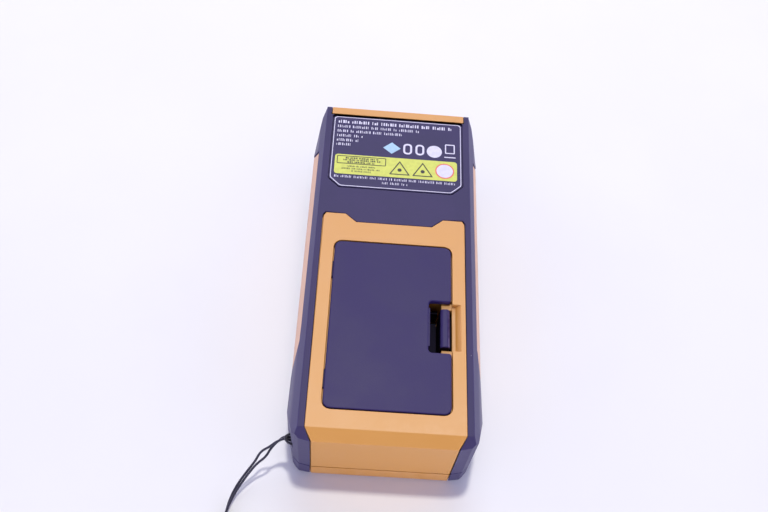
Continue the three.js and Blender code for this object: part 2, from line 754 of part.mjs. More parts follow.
function keyOutline([, x, y, width, length, radius], room) {
  const halfWidth = width / 2 + room;
  const halfLength = length / 2 + room;
  return roundedBox(x - halfWidth, x + halfWidth, y - halfLength, y + halfLength, radius + room);
}

const keyArcs = ([, , , , , radius]) => (radius > ROUND_CORNER ? 5 : 2);

function bezel() {
  const panel = toSolid(
    alongZ(
      roundedBox(-BEZEL_HALF, BEZEL_HALF, REAR + BEZEL_FROM_REAR, NOSE - BEZEL_FROM_NOSE, BEZEL_CORNER),
      BEZEL_FACE,
      bezelTop,
    ),
  );
  const window = toSolid(
    alongZ(
      roundedBox(
        -DISPLAY_WIDTH / 2 - GAP,
        DISPLAY_WIDTH / 2 + GAP,
        displayY0 - GAP,
        displayY1 + GAP,
        DISPLAY_CORNER + GAP,
      ),
      -1,
      PARTING,
    ),
  );
  const keyHoles = keys.map((key) => toSolid(alongZ(keyOutline(key, GAP), -1, PARTING, keyArcs(key))));
  return panel.subtract(window).subtract(union(...keyHoles));
}
add('keypad_bezel', bezel(), blackHard);

for (const key of keys) {
  const stem = toSolid(alongZ(keyOutline(key, 0), KEY_FACE, flangeTop - 0.2, keyArcs(key)));
  const flange = toSolid(alongZ(keyOutline(key, KEY_FLANGE), bezelTop + GAP, flangeTop, keyArcs(key)));
  add(key[0], stem.add(flange), key[6]);
}

const displayX = DISPLAY_WIDTH / 2;
const displayShape = roundedBox(-displayX, displayX, displayY0, displayY1, DISPLAY_CORNER);
add('display_window', alongZ(displayShape, DISPLAY_FACE, bezelTop), clear);
add(
  'lcd_module',
  block(-displayX, displayX, displayY0 + GAP, displayY1, bezelTop + GAP, bezelTop + GAP + LCD_THICK),
  blackGloss,
);

const matY0 = keyRows[2] - 6;
const matY1 = keyRows[0] + 8;
const matShape = roundedBox(-MAT_HALF, MAT_HALF, matY0, matY1, DISPLAY_CORNER);
add('key_mat', alongZ(matShape, matBottom, matBottom + MAT_THICK), silicone);

// ---------------------------------------------------------------- electronics

const boardY0 = REAR + BEZEL_FROM_REAR + 3;
const boardY1 = chassisY0 - 1.5;
function mainBoard() {
  const board = toSolid(block(-BOARD_HALF, BOARD_HALF, boardY0, boardY1, boardBottom, boardTop));
  const holes = [-1, 1].map((side) =>
    toSolid(rodZ(BOARD_SCREW_RADIUS + GAP, side * BOARD_SCREW_X, boardScrewY, 0, boardTop + 1, 16)),
  );
  return board.subtract(union(...holes));
}
add('main_board', mainBoard(), boardGreen);

// A pan-head screw whose head faces the front: a short wide rod with a thinner one on it
function screw(radius, headRadius, x, y, headLow, headHigh, tip) {
  const head = toSolid(rodZ(headRadius, x, y, headLow, headHigh, 20));
  const shank = toSolid(rodZ(radius, x, y, headHigh - 0.2, tip, 12));
  const arm = headRadius * 0.6;
  const half = 0.2; // half the width of the cross recess
  const recess = union(
    toSolid(block(x - arm, x + arm, y - half, y + half, headLow - 1, headLow + 0.5)),
    toSolid(block(x - half, x + half, y - arm, y + arm, headLow - 1, headLow + 0.5)),
  );
  return head.add(shank).subtract(recess);
}
let screwNumber = 0;
for (const x of [-SCREW_X, SCREW_X]) {
  for (const y of bossY) {
    screwNumber += 1;
    const headLow = bezelTop + GAP;
    const body = screw(SCREW_RADIUS, SCREW_HEAD_RADIUS, x, y, headLow, headLow + 0.6, PARTING + SCREW_REACH);
    add(`case_screw_${screwNumber}`, body, steel);
  }
}
[-1, 1].forEach((side, index) => {
  const top = boardBottom - GAP;
  const x = side * BOARD_SCREW_X;
  const body = screw(BOARD_SCREW_RADIUS, BOARD_SCREW_HEAD, x, boardScrewY, top - 0.8, top, boardTop + 3);
  add(`board_screw_${index + 1}`, body, steel);
});

const onBoard = boardTop + GAP;
add('buzzer', rodZ(5.5, 7, bayY1 + 13, onBoard, onBoard + 3.2, 24), blackHard);
add('shield_can', block(-12.5, -1, bayY1 + 6, bayY1 + 20, onBoard, onBoard + 2.4), steel);

// ---------------------------------------------------------------- optics

function opticsChassis() {
  const low = boardTop + GAP + 0.3;
  const body = toSolid(block(CHASSIS_LEFT, CHASSIS_RIGHT, chassisY0, chassisY1, low, cavityTop - 1));
  const seatEnd = chassisY0 + OPTICS_SEAT;
  const bores = union(
    toSolid(rodY(BARREL_RADIUS + GAP, LASER_X, AXIS_Z, chassisY0 - 1, chassisY1 + 1, 24)),
    toSolid(rodY(RECEIVER_RADIUS - 1.2, RECEIVER_X, AXIS_Z, seatEnd, chassisY1 + 1, 32)),
    toSolid(rodY(DIODE_CAN + GAP, RECEIVER_X, AXIS_Z, chassisY0 - 1, seatEnd + 1, 24)),
  );
  return body.subtract(bores);
}
add('optics_chassis', opticsChassis(), castMetal);

const barrelProfile = [
  [0, chassisY0 + 3],
  [BARREL_RADIUS, chassisY0 + 3],
  [BARREL_RADIUS, chassisY1 - 0.4],
  [BARREL_RADIUS - BARREL_WALL, chassisY1 - 0.4],
  [BARREL_RADIUS - BARREL_WALL, chassisY0 + 5],
  [0, chassisY0 + 5],
];
add('laser_barrel', turnedY(barrelProfile, LASER_X, AXIS_Z), brass);

const laserLensRadius = BARREL_RADIUS - BARREL_WALL - GAP;
const laserLensProfile = [
  [0, chassisY1 - 3],
  [laserLensRadius, chassisY1 - 2.7],
  [laserLensRadius, chassisY1 - 1.9],
  [0, chassisY1 - 1.4],
];
add('collimator_lens', turnedY(laserLensProfile, LASER_X, AXIS_Z, 24), clear);

const diodeProfile = [
  [0, chassisY0 - 0.4],
  [DIODE_FLANGE, chassisY0 - 0.4],
  [DIODE_FLANGE, chassisY0 + 0.8],
  [DIODE_CAN, chassisY0 + 0.8],
  [DIODE_CAN, chassisY0 + 2.6],
  [0, chassisY0 + 2.6],
];
add('laser_diode', turnedY(diodeProfile, LASER_X, AXIS_Z, 24), brass);

const photodiodeProfile = [
  [0, chassisY0 - 0.4],
  [DIODE_CAN, chassisY0 - 0.4],
  [DIODE_CAN, chassisY0 + 1.8],
  [0, chassisY0 + 1.8],
];
add('photodiode', turnedY(photodiodeProfile, RECEIVER_X, AXIS_Z, 24), steel);
const sensorBack = chassisY0 - 0.7;
add(
  'sensor_board',
  block(
    CHASSIS_LEFT + 0.5,
    CHASSIS_RIGHT - 0.7,
    sensorBack - BOARD_THICK,
    sensorBack,
    boardTop + 1,
    cavityTop - 1.5,
  ),
  boardGreen,
);

function nosePlate() {
  const plate = toSolid(
    alongY(
      roundedBox(-NOSE_PLATE_HALF, NOSE_PLATE_HALF, NOSE_PLATE_LOW, NOSE_PLATE_HIGH, 2),
      nosePlateBack,
      nosePlateFront,
    ),
  );
  const holes = union(
    toSolid(rodY(RECEIVER_RADIUS + GAP, RECEIVER_X, AXIS_Z, nosePlateBack - 1, NOSE + 1, 40)),
    toSolid(rodY(BARREL_RADIUS + GAP, LASER_X, AXIS_Z, nosePlateBack - 1, NOSE + 1, 24)),
  );
  return plate.subtract(holes);
}
add('nose_plate', nosePlate(), blackHard);

const lensBack = chassisY1 + GAP;
const lensFront = nosePlateFront - 0.4;
const receiverProfile = [
  [0, lensBack],
  [RECEIVER_RADIUS, lensBack],
  [RECEIVER_RADIUS, lensFront - 1.2],
  [RECEIVER_RADIUS * 0.7, lensFront - 0.5],
  [RECEIVER_RADIUS * 0.35, lensFront - 0.1],
  [0, lensFront],
];
add('receiver_lens', turnedY(receiverProfile, RECEIVER_X, AXIS_Z, 40), lensGlass);
add('laser_window', rodY(BARREL_RADIUS, LASER_X, AXIS_Z, nosePlateBack + 0.1, lensFront, 24), clear);

// ---------------------------------------------------------------- battery door and latch

const latchNotchHalf = LATCH_NOTCH_LENGTH / 2;
function batteryDoor() {
  const plate = toSolid(
    alongZ(roundedBox(doorX0, doorX1, doorY0, doorY1, DOOR_CORNER), BACK - DOOR_THICK, BACK),
  );
  const notch = toSolid(
    alongZ(
      roundedBox(notchX0, doorX1 + 5, latchY - latchNotchHalf, latchY + latchNotchHalf, 1),
      LEDGE_TOP - 5,
      BACK + 1,
    ),
  );
  const tongues = tongueY.map((y) =>
    toSolid(
      block(
        doorX0 - TONGUE_REACH,
        doorX0 + 3,
        y - TONGUE_WIDTH / 2,
        y + TONGUE_WIDTH / 2,
        BACK - DOOR_THICK - TONGUE_THICK,
        BACK - DOOR_THICK + 0.2,
      ),
    ),
  );
  const half = LATCH_LENGTH / 2;
  const legX0 = notchX0 - 0.6; // rooted in the door beside the notch
  const footTop = LATCH_BOTTOM + LATCH_LEG;
  const springLeg = union(
    toSolid(block(legX0, legX0 + LATCH_LEG, latchY - half, latchY + half, LATCH_BOTTOM, BACK - 0.4)),
    toSolid(block(legX0, latchX0 - GAP, latchY - half, latchY + half, LATCH_BOTTOM, footTop)),
  );
  return plate.subtract(notch).add(springLeg).add(union(...tongues));
}
add('battery_door', batteryDoor(), blackHard);

// The latch: a pad to press, a leg down to the door's spring leg and a tooth under the frame
function doorLatch() {
  const half = LATCH_LENGTH / 2;
  const top = BACK - LATCH_TOP_DROP;
  const pad = [
    [latchX0, LEDGE_TOP - 2],
    [latchX1, LEDGE_TOP - 2],
    [latchX1, top - LATCH_PAD_EDGE],
    [latchX1 - LATCH_PAD_EDGE, top],
    [latchX0 + LATCH_PAD_EDGE, top],
    [latchX0, top - LATCH_PAD_EDGE],
  ].map(([x, z]) => new THREE.Vector2(x, z));
  const toothTop = cavityTop - 0.5;
  const toothTip = doorX1 + GAP + LATCH_TOOTH_REACH;
  const tooth = [
    [latchX0, toothTop - 2],
    [latchX1, toothTop - 2],
    [toothTip, toothTop - 0.4],
    [toothTip, toothTop],
    [latchX0, toothTop],
  ].map(([x, z]) => new THREE.Vector2(x, z));
  return union(
    toSolid(alongY(pad, latchY - half, latchY + half)),
    toSolid(alongY(tooth, latchY - half + 1, latchY + half - 1)),
    toSolid(block(latchX0, latchX0 + LATCH_LEG, latchY - half, latchY + half, LATCH_BOTTOM, LEDGE_TOP)),
  );
}
add('door_latch', doorLatch(), blackHard);

const cellTop = cellZ + CELL_DIAMETER / 2;
add(
  'door_pad',
  block(bayX0 + 2, bayX1 - 2, latchY - 3, latchY + 3, LEDGE_TOP - PAD_THICK, LEDGE_TOP),
  foam,
);

// ---------------------------------------------------------------- batteries and contacts

const rearContact = bayY0 + GAP;
const noseContact = bayY1 - GAP;
const cellRoom = 0.2; // between a cell and what it presses on
const springLength = BAY_END_ROOM - 2 * GAP - 2 * CONTACT_THICK - 3 * cellRoom;

function cell(x, buttonEnd, direction) {
  const radius = CELL_DIAMETER / 2;
  const profile = [
    [0, -CELL_LENGTH],
    [radius - 0.4, -CELL_LENGTH],
    [radius, -CELL_LENGTH + 0.4],
    [radius, -CELL_BUTTON_LENGTH - 0.6],
    [radius - 0.6, -CELL_BUTTON_LENGTH],
    [CELL_BUTTON_DIAMETER / 2, -CELL_BUTTON_LENGTH],
    [CELL_BUTTON_DIAMETER / 2, 0],
    [0, 0],
  ];
  const geometry = turnedY(profile, 0, 0, 32);
  if (direction < 0) geometry.rotateZ(Math.PI);
  return geometry.translate(x, buttonEnd, cellZ);
}
add('battery_1', cell(cellX[0], noseContact - CONTACT_THICK - cellRoom, 1), cellWrap);
add('battery_2', cell(cellX[1], rearContact + CONTACT_THICK + cellRoom, -1), cellWrap);

const contactLow = BAY_FLOOR_TOP + 1;
const contactHigh = cellTop - 0.5;
add(
  'contact_bridge',
  block(
    cellX[0] - CONTACT_HALF,
    cellX[1] + CONTACT_HALF,
    rearContact,
    rearContact + CONTACT_THICK,
    contactLow,
    contactHigh,
  ),
  steel,
);
cellX.forEach((x, index) => {
  const name = ['contact_positive', 'contact_negative'][index];
  const [x0, x1] = [x - CONTACT_HALF, x + CONTACT_HALF];
  add(name, block(x0, x1, noseContact - CONTACT_THICK, noseContact, contactLow, contactHigh), steel);
});

// A conical spring that stands on a contact plate and narrows towards the cell
class SpringCurve extends THREE.Curve {
  constructor(x, start, direction) {
    super();
    Object.assign(this, { x, start, direction });
  }
  getPoint(t, target = new THREE.Vector3()) {
    const radius = THREE.MathUtils.lerp(SPRING_WIDE, SPRING_NARROW, t);
    const travel = springLength - SPRING_WIRE;
    const angle = t * SPRING_TURNS * 2 * Math.PI;
    const y = this.start + this.direction * (SPRING_WIRE / 2 + t * travel);
    return target.set(this.x + radius * Math.cos(angle), y, cellZ + radius * Math.sin(angle));
  }
}

function circle(radius, sides) {
  const points = Array.from({ length: sides }, (_, i) => {
    const angle = (i / sides) * 2 * Math.PI;
    return new THREE.Vector2(radius * Math.cos(angle), radius * Math.sin(angle));
  });
  return new THREE.Shape(points);
}
const tube = (curve, diameter, steps, sides = 8) =>
  new THREE.ExtrudeGeometry(circle(diameter / 2, sides), { extrudePath: curve, steps, bevelEnabled: false });

const springs = [
  new SpringCurve(cellX[0], rearContact + CONTACT_THICK + cellRoom, 1),
  new SpringCurve(cellX[1], noseContact - CONTACT_THICK - cellRoom, -1),
];
springs.forEach((curve, index) => add(`battery_spring_${index + 1}`, tube(curve, SPRING_WIRE, 42, 6), steel));

// ---------------------------------------------------------------- wrist strap

// The string is one loop round the pin. Each row is the middle of its two strands, measured from
// the middle of the pin, then how far apart they are and how far they have turned about each other,
// in degrees.
const stringRoute = [
  [-0.55, 0, 0, 2.2, 0],
  [-2.15, 0.1, 0, 1.8, 0],
  [-3.45, 0.3, -0.2, 1.1, 20],
  [-5.25, -0.2, -1.5, 1, 70],
  [-7.15, -1.4, -3.1, 1.1, 120],
  [-8.95, -2.8, -4.8, 1.7, 165],
  [-10.85, -4.6, -6.7, 1.1, 180],
  [-12.55, -6.4, -8.4, 1, 180],
  [-14.15, -8.3, -10.1, 1, 180],
  [-15.55, -10.3, -11.6, 1, 180],
  [-16.65, -12.6, -12.7, 1, 180],
  [-17.35, -15, -13.3, 1, 180],
  [-17.65, -17.6, -13.5, 1, 180],
  [-17.35, -20.2, -13.1, 1, 180],
  [-16.75, -22.8, -12, 1, 180],
  [-16.45, -24.4, -11.2, 1, 180],
];

function strand(side) {
  const pin = new THREE.Vector3(PIN_X, PIN_Y, PIN_Z);
  const centres = stringRoute.map(([x, y, z]) => new THREE.Vector3(x, y, z).add(pin));
  const points = stringRoute.map(([, , , spread, degrees], i) => {
    const ahead = new THREE.Vector3().subVectors(
      centres[Math.min(i + 1, centres.length - 1)],
      centres[Math.max(i - 1, 0)],
    );
    const across = new THREE.Vector3().crossVectors(Z, ahead).normalize();
    const over = new THREE.Vector3().crossVectors(ahead, across).normalize();
    const angle = THREE.MathUtils.degToRad(degrees);
    const offset = across.multiplyScalar(Math.cos(angle)).addScaledVector(over, Math.sin(angle));
    return centres[i].clone().addScaledVector(offset, (side * spread) / 2);
  });
  return new THREE.CatmullRomCurve3(points);
}
add('strap_string_a', tube(strand(-1), STRING, 32), nylon);
add('strap_string_b', tube(strand(1), STRING, 32), nylon);

const [lastX, lastY] = stringRoute.at(-1);
const ferruleZ = FERRULE_RADIUS + 0.1;
const ferruleStart = new THREE.Vector3(PIN_X + lastX, PIN_Y + lastY - GAP, ferruleZ);
const ferruleEnd = ferruleStart.clone().add(new THREE.Vector3(0, -FERRULE_LENGTH, 0));
function ferrule() {
  const profile = [
    [0, 0],
    [1.2, 0],
    [1.7, 0.5],
    [FERRULE_RADIUS, FERRULE_LENGTH / 2],
    [FERRULE_RADIUS, FERRULE_LENGTH - 0.4],
    [FERRULE_RADIUS - 0.4, FERRULE_LENGTH],
    [0, FERRULE_LENGTH],
  ].map(([radius, y]) => new THREE.Vector2(radius, y));
  const geometry = new THREE.LatheGeometry(profile, 24).rotateX(Math.PI);
  return geometry.translate(ferruleStart.x, ferruleStart.y, ferruleStart.z);
}
add('strap_ferrule', ferrule(), blackHard);

// The wrist loop leaves the ferrule as two leads that run into a flat coil
const coilCentre = new THREE.Vector3(ferruleEnd.x + COIL_RADIUS + 0.2, ferruleEnd.y - 15.5, 0);
const leadRoutes = {
  wrist_lead_in: [
    [ferruleEnd.x - 1.5, ferruleEnd.y - GAP, 2.8],
    [ferruleEnd.x - 1.7, ferruleEnd.y - 3.4, 2.2],
    [ferruleEnd.x - 1.9, ferruleEnd.y - 6.6, 1.6],
  ],
  wrist_lead_out: [
    [ferruleEnd.x + 1.5, ferruleEnd.y - GAP, 3.2],
    [ferruleEnd.x + 1.4, ferruleEnd.y - 1.4, 3.3],
    [ferruleEnd.x + 1.3, ferruleEnd.y - 2.6, 3.4],
  ],
};
for (const [name, route] of Object.entries(leadRoutes)) {
  const curve = new THREE.CatmullRomCurve3(route.map((point) => new THREE.Vector3(...point)));
  add(name, tube(curve, WRIST_CORD, 3), nylon);
}

function coil() {
  const inner = COIL_RADIUS - 1.15 * WRIST_CORD;
  const outer = COIL_RADIUS + 1.15 * WRIST_CORD;
  const low = COIL_LIFT;
  const high = low + 2 * WRIST_CORD;
  const profile = [
    [inner, low + 1],
    [inner + 1, low],
    [outer - 1, low],
    [outer, low + 1],
    [outer, high - 1],
    [outer - 1, high],
    [inner + 1, high],
    [inner, high - 1],
    [inner, low + 1],
  ].map(([radius, z]) => new THREE.Vector2(radius, z));
  const ring = new THREE.LatheGeometry(profile, 32).rotateX(Math.PI / 2);
  return ring.translate(coilCentre.x, coilCentre.y, coilCentre.z);
}
add('wrist_coil', coil(), nylon);

export default meter;
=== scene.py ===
# %% [markdown]
# # A laser distance meter on a pale table
#
# The meter lies on its front face, so the battery door, the rating label and the orange frame
# show. The housings, their seams and the way the door and keys move come ready made from a solid
# model. This lesson loads that model, keeps every place it gives, and adds what a solid model
# leaves out: softly rounded mouldings, printed ink, cord, grain and light.

# %% Load the solid model
import json
import math

import bmesh
import bpy
from mathutils import Matrix, Vector
from mathutils import geometry as geometry_tools
from mathutils.bvhtree import BVHTree

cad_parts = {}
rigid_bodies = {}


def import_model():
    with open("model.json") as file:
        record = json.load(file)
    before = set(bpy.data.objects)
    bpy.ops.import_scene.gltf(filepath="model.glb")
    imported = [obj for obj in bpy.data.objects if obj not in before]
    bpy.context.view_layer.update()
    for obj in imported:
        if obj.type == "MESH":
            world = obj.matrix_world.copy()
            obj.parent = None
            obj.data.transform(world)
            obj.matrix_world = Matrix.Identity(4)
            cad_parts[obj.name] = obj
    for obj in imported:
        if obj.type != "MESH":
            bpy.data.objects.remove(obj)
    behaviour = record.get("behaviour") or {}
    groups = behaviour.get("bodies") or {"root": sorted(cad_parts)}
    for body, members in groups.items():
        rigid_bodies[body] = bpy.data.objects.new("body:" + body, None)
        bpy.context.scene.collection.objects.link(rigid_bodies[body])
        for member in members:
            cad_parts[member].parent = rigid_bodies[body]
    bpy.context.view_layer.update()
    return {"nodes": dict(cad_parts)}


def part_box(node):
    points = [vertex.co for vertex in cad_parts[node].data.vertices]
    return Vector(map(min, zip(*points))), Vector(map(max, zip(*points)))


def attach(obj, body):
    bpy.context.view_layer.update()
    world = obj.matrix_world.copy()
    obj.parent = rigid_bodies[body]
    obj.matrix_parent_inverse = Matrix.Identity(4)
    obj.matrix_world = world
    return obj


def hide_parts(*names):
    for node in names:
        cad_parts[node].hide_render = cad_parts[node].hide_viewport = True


# a new file may hold a cube, a lamp and a camera, which this scene has no use for
for leftover in list(bpy.data.objects):
    bpy.data.objects.remove(leftover)

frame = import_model()
MM = 0.001

# %% [markdown]
# ## Camera
#
# The camera looks down on the rear end of the meter from about a quarter of a metre away. Three
# directions fix how it is turned: where it looks, its right and its top. They are made exactly
# square to each other with cross products, so small rounding in the numbers can't skew the view.

# %% Camera
LENS, SENSOR_WIDTH, NEAREST = 40.04, 36, 0.01
CAMERA_PLACE = Vector((-11.83, -126.98, 226.10))
LOOKS_ALONG = Vector((0.03938, 0.53600, -0.84330))
TOP_TOWARDS = Vector((-0.06929, 0.84338, 0.53282))

camera_data = bpy.data.cameras.new("camera")
camera_data.lens = LENS
camera_data.sensor_width = SENSOR_WIDTH
camera_data.clip_start = NEAREST
camera = bpy.data.objects.new("camera", camera_data)
bpy.context.scene.collection.objects.link(camera)
bpy.context.scene.camera = camera

ahead = LOOKS_ALONG.normalized()
camera_right = ahead.cross(TOP_TOWARDS).normalized()
camera_top = camera_right.cross(ahead)
turn = Matrix((camera_right, camera_top, -ahead)).transposed().to_4x4()
camera.matrix_world = Matrix.Translation(CAMERA_PLACE * MM) @ turn
print("camera height:", round(camera.matrix_world.translation.z, 3))

# %% [markdown]
# ## String and wrist cord
#
# A thin string runs through the eyelet in the corner and comes back, so two strands leave it side
# by side, cross, and end in a moulded ferrule. A short turn of the same string, the hitch, lies
# over both strands in the mouth of the eyelet. The ferrule also holds both ends of the thicker
# wrist cord, which lies wound on the table with a tie round its turns. A cord is a curve with a
# round bevel: its length is real and its line stays smooth.

# %% A round cord through a list of points
def round_cord(name, points, diameter, resolution=6):
    """Gives the cord's mesh, the points of its middle line and its length, in metres."""
    data = bpy.data.curves.new(name, "CURVE")
    data.dimensions = "3D"
    data.bevel_depth = diameter / 2
    data.bevel_resolution = 4
    data.use_fill_caps = True
    data.resolution_u = resolution
    spline = data.splines.new("BEZIER")
    spline.bezier_points.add(len(points) - 1)
    for knot, place in zip(spline.bezier_points, points):
        knot.co = Vector(place) * MM
        knot.handle_left_type = knot.handle_right_type = "AUTO"
    line = bpy.data.objects.new(name, data)
    bpy.context.scene.collection.objects.link(line)
    graph = bpy.context.evaluated_depsgraph_get()
    tube = bpy.data.meshes.new_from_object(line.evaluated_get(graph), depsgraph=graph)
    knots = list(spline.bezier_points)
    middle = [knots[0].co.copy()]
    for near, far in zip(knots, knots[1:]):
        corners = (near.co, near.handle_right, far.handle_left, far.co)
        middle += geometry_tools.interpolate_bezier(*corners, resolution + 1)[1:]
    bpy.data.objects.remove(line)
    length = sum((after - before).length for before, after in zip(middle, middle[1:]))
    skin = bmesh.new()
    skin.from_mesh(tube)
    bmesh.ops.remove_doubles(skin, verts=skin.verts, dist=0.0005 * MM)
    skin.to_mesh(tube)
    skin.free()
    return tube, middle, length


# %% String strands
STRING = 0.65
pin_low, pin_high = (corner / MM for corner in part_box("strap_pin"))
pin_middle = (pin_low + pin_high) / 2
# the bight behind the pin, which both strands start from: how far behind it and how far aside
BIGHT = [(0.82, 0.05), (0.45, 0.72)]
# middle of the two strands from the middle of the pin, how far apart they are and how far they
# have turned about each other, in degrees
string_route = [
    (-0.55, 0, 0, 1.5, 0),
    (-2.15, 0.1, 0, 0.74, 0),
    (-3.45, 0.3, -0.2, 0.7, 20),
    (-5.25, -0.2, -1.5, 0.68, 70),
    (-7.15, -1.4, -3.1, 0.76, 120),
    (-8.95, -2.8, -4.8, 1.65, 165),
    (-10.85, -4.6, -6.7, 0.86, 180),
    (-12.55, -6.4, -8.4, 0.7, 180),
    (-14.15, -8.3, -10.1, 0.7, 180),
    (-15.55, -10.3, -11.6, 0.7, 200),
    (-16.65, -12.6, -12.7, 0.7, 225),
    (-17.35, -15, -13.15, 0.7, 255),
    (-17.65, -17.6, -13.15, 0.7, 270),
    (-17.35, -20.2, -12.9, 0.8, 240),
    (-16.75, -22.8, -12, 1, 200),
    (-16.45, -25.2, -11.05, 1, 180),
]


def strand_points(side):
    middles = [pin_middle + Vector(row[:3]) for row in string_route]
    points = [pin_middle + Vector((behind, -side * aside, 0)) for behind, aside in BIGHT]
    for index, (*_, spread, degrees) in enumerate(string_route):
        after = middles[min(index + 1, len(middles) - 1)]
        along = after - middles[max(index - 1, 0)]
        across = Vector((0, 0, 1)).cross(along).normalized()
        over = along.cross(across).normalized()
        angle = math.radians(degrees)
        offset = across * math.cos(angle) + over * math.sin(angle)
        points.append(middles[index] + offset * side * spread / 2)
    return points


string_lines = {
    "string_a": round_cord("string_a", strand_points(-1), STRING * MM),
    "string_b": round_cord("string_b", strand_points(1), STRING * MM),
}
print("strands:", [round(length / MM, 1) for _, _, length in string_lines.values()], "mm")

# %% Hitch
# one side of the turn, from beside the pin to the mouth, then its crown and the other side
hitch_half = [(0.4, 1.15, 0.1), (-0.9, 1.42, 0.15), (-2.1, 1.25, 0.25), (-2.95, 0.75, 0.5)]
hitch_crown = (-3.4, 0.1, 0.62)
hitch_route = [pin_middle + Vector(place) for place in [*hitch_half, hitch_crown]]
hitch_route += [pin_middle + Vector((x, -y, z)) for x, y, z in reversed(hitch_half)]
hitch_line = round_cord("string_hitch", hitch_route, STRING * MM)
print("hitch:", round(hitch_line[2] / MM, 1), "mm")

# %% Wrist cord, wound beside the ferrule
WRIST = 2.5
ferrule_end = Vector((-38.3, -82.5, 3.0))
coil_centre = Vector((-24.1, -98.0, 0))
# the tie lies under the turns, so they rise a little as they pass over it
TIE_ANGLE, TIE_SPREAD, TIE_LIFT = 255, 22, 0.36


def on_coil(radius, degrees, height):
    angle = math.radians(degrees)
    lift = TIE_LIFT * math.exp(-(((degrees - TIE_ANGLE + 180) % 360 - 180) / TIE_SPREAD) ** 2)
    place = coil_centre + Vector((radius * math.cos(angle), radius * math.sin(angle), 0))
    place.z = height + lift
    return place


wrist_route = [
    ferrule_end + Vector((-1.5, 0.6, -0.1)),
    ferrule_end + Vector((-1.55, -1.6, -0.4)),
    ferrule_end + Vector((-1.7, -4.4, -1.1)),
    ferrule_end + Vector((-1.75, -7.6, -1.65)),
    ferrule_end + Vector((-1.55, -11.2, -1.73)),
]
# an outer turn, an inner turn beside it, and a last stretch that climbs onto both
LOW_TURN, HIGH_TURN = 1.29, 3.45
OUTER_RADIUS, INWARD, OUTWARD = 15.4, 2.55, 1.25
INWARD_FROM, INWARD_OVER = 470, 90
UPWARD_FROM, UPWARD_OVER = 870, 60
for degrees in range(180, 1030, 18):
    inner = min(max((degrees - INWARD_FROM) / INWARD_OVER, 0), 1)
    upper = min(max((degrees - UPWARD_FROM) / UPWARD_OVER, 0), 1)
    radius = OUTER_RADIUS - INWARD * inner + OUTWARD * upper
    wrist_route.append(on_coil(radius, degrees, LOW_TURN + (HIGH_TURN - LOW_TURN) * upper))
# off the top of the winding, across its middle and over the outer turns to the ferrule
wrist_route += [
    coil_centre + Vector((12.3, -4.9, 3.1)),
    coil_centre + Vector((12.7, 0.2, 2.7)),
    coil_centre + Vector((10.0, 3.9, 2.5)),
    coil_centre + Vector((5.6, 5.4, 2.6)),
    coil_centre + Vector((0.6, 6.1, 2.9)),
    coil_centre + Vector((-4.4, 7.2, 3.5)),
    coil_centre + Vector((-8.9, 9.0, 4.0)),
    ferrule_end + Vector((1.4, -3.1, 0.75)),
    ferrule_end + Vector((1.5, -0.9, 0.3)),
    ferrule_end + Vector((1.5, 0.6, 0.1)),
]
wrist_line = round_cord("wrist_cord", wrist_route, WRIST * MM)
print("wrist cord:", round(wrist_line[2] / MM, 1), "mm through", len(wrist_route), "points")

# %% [markdown]
# ## From mesh to finished piece
#
# Every new piece goes through one helper. It puts the mesh at the origin, hangs it on the body
# that it rides on, hides the solids that it stands for, and adds a Weighted Normal modifier.
# Large flat faces then decide the shading at their edges, so a narrow rounded edge catches the
# light as a crisp line and the flat face beside it stays flat.

# %% Piece helper
def finish_piece(name, shape, body, material_slot, *nodes):
    if isinstance(shape, bmesh.types.BMesh):
        mesh = bpy.data.meshes.new(name)
        shape.to_mesh(mesh)
        shape.free()
    else:
        mesh = shape
        mesh.name = name
    mesh.shade_smooth()
    mesh.set_sharp_from_angle(angle=math.radians(40))
    made = bpy.data.objects.new(name, mesh)
    bpy.context.scene.collection.objects.link(made)
    weighted = made.modifiers.new("even_shading", "WEIGHTED_NORMAL")
    weighted.keep_sharp = True
    weighted.weight = 80
    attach(made, body)
    if nodes:
        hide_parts(*nodes)
    print(f"{name}: {len(mesh.polygons)} faces")
    return made


# %% [markdown]
# ## Rounding a moulding
#
# A moulded housing has no knife edges. The solid model's pieces have the right flats and seams,
# so a copy of each is merged into one skin, its flat areas are dissolved back into single faces,
# and the bevel operator rounds the edges that the eye can reach. The original mesh isn't touched.

# %% Copy a solid and round its edges
SAME_POINT = 0.002 * MM


def solid_copy(name):
    skin = bmesh.new()
    skin.from_mesh(bpy.data.objects[name].data)
    bmesh.ops.remove_doubles(skin, verts=skin.verts, dist=SAME_POINT)
    bmesh.ops.dissolve_limit(skin, angle_limit=math.radians(1), verts=skin.verts, edges=skin.edges)
    return skin


def round_edges(skin, radius, segments=3, sharper_than=24, shortest=0.3, reach=None):
    lows = [min(corner.co[axis] for corner in skin.verts) for axis in range(3)]
    highs = [max(corner.co[axis] for corner in skin.verts) for axis in range(3)]
    chosen = []
    for edge in skin.edges:
        if len(edge.link_faces) != 2 or edge.calc_face_angle() < math.radians(sharper_than):
            continue
        middle = (edge.verts[0].co + edge.verts[1].co) / 2 / MM
        if edge.calc_length() > shortest * MM and (reach is None or reach(middle)):
            chosen.append(edge)
    bmesh.ops.bevel(
        skin,
        geom=chosen,
        offset=radius * MM,
        offset_type="OFFSET",
        affect="EDGES",
        segments=segments,
        profile=0.5,
        material=-1,
        clamp_overlap=False,
    )
    # where a rounding meets a sharp tip it may overshoot, so it is kept inside the piece's box
    for corner in skin.verts:
        corner.co = [min(max(corner.co[axis], lows[axis]), highs[axis]) for axis in range(3)]
    return skin


# %% Close a seam
SEAM_GAP, SEAM_LEFT = 0.3, 0.05


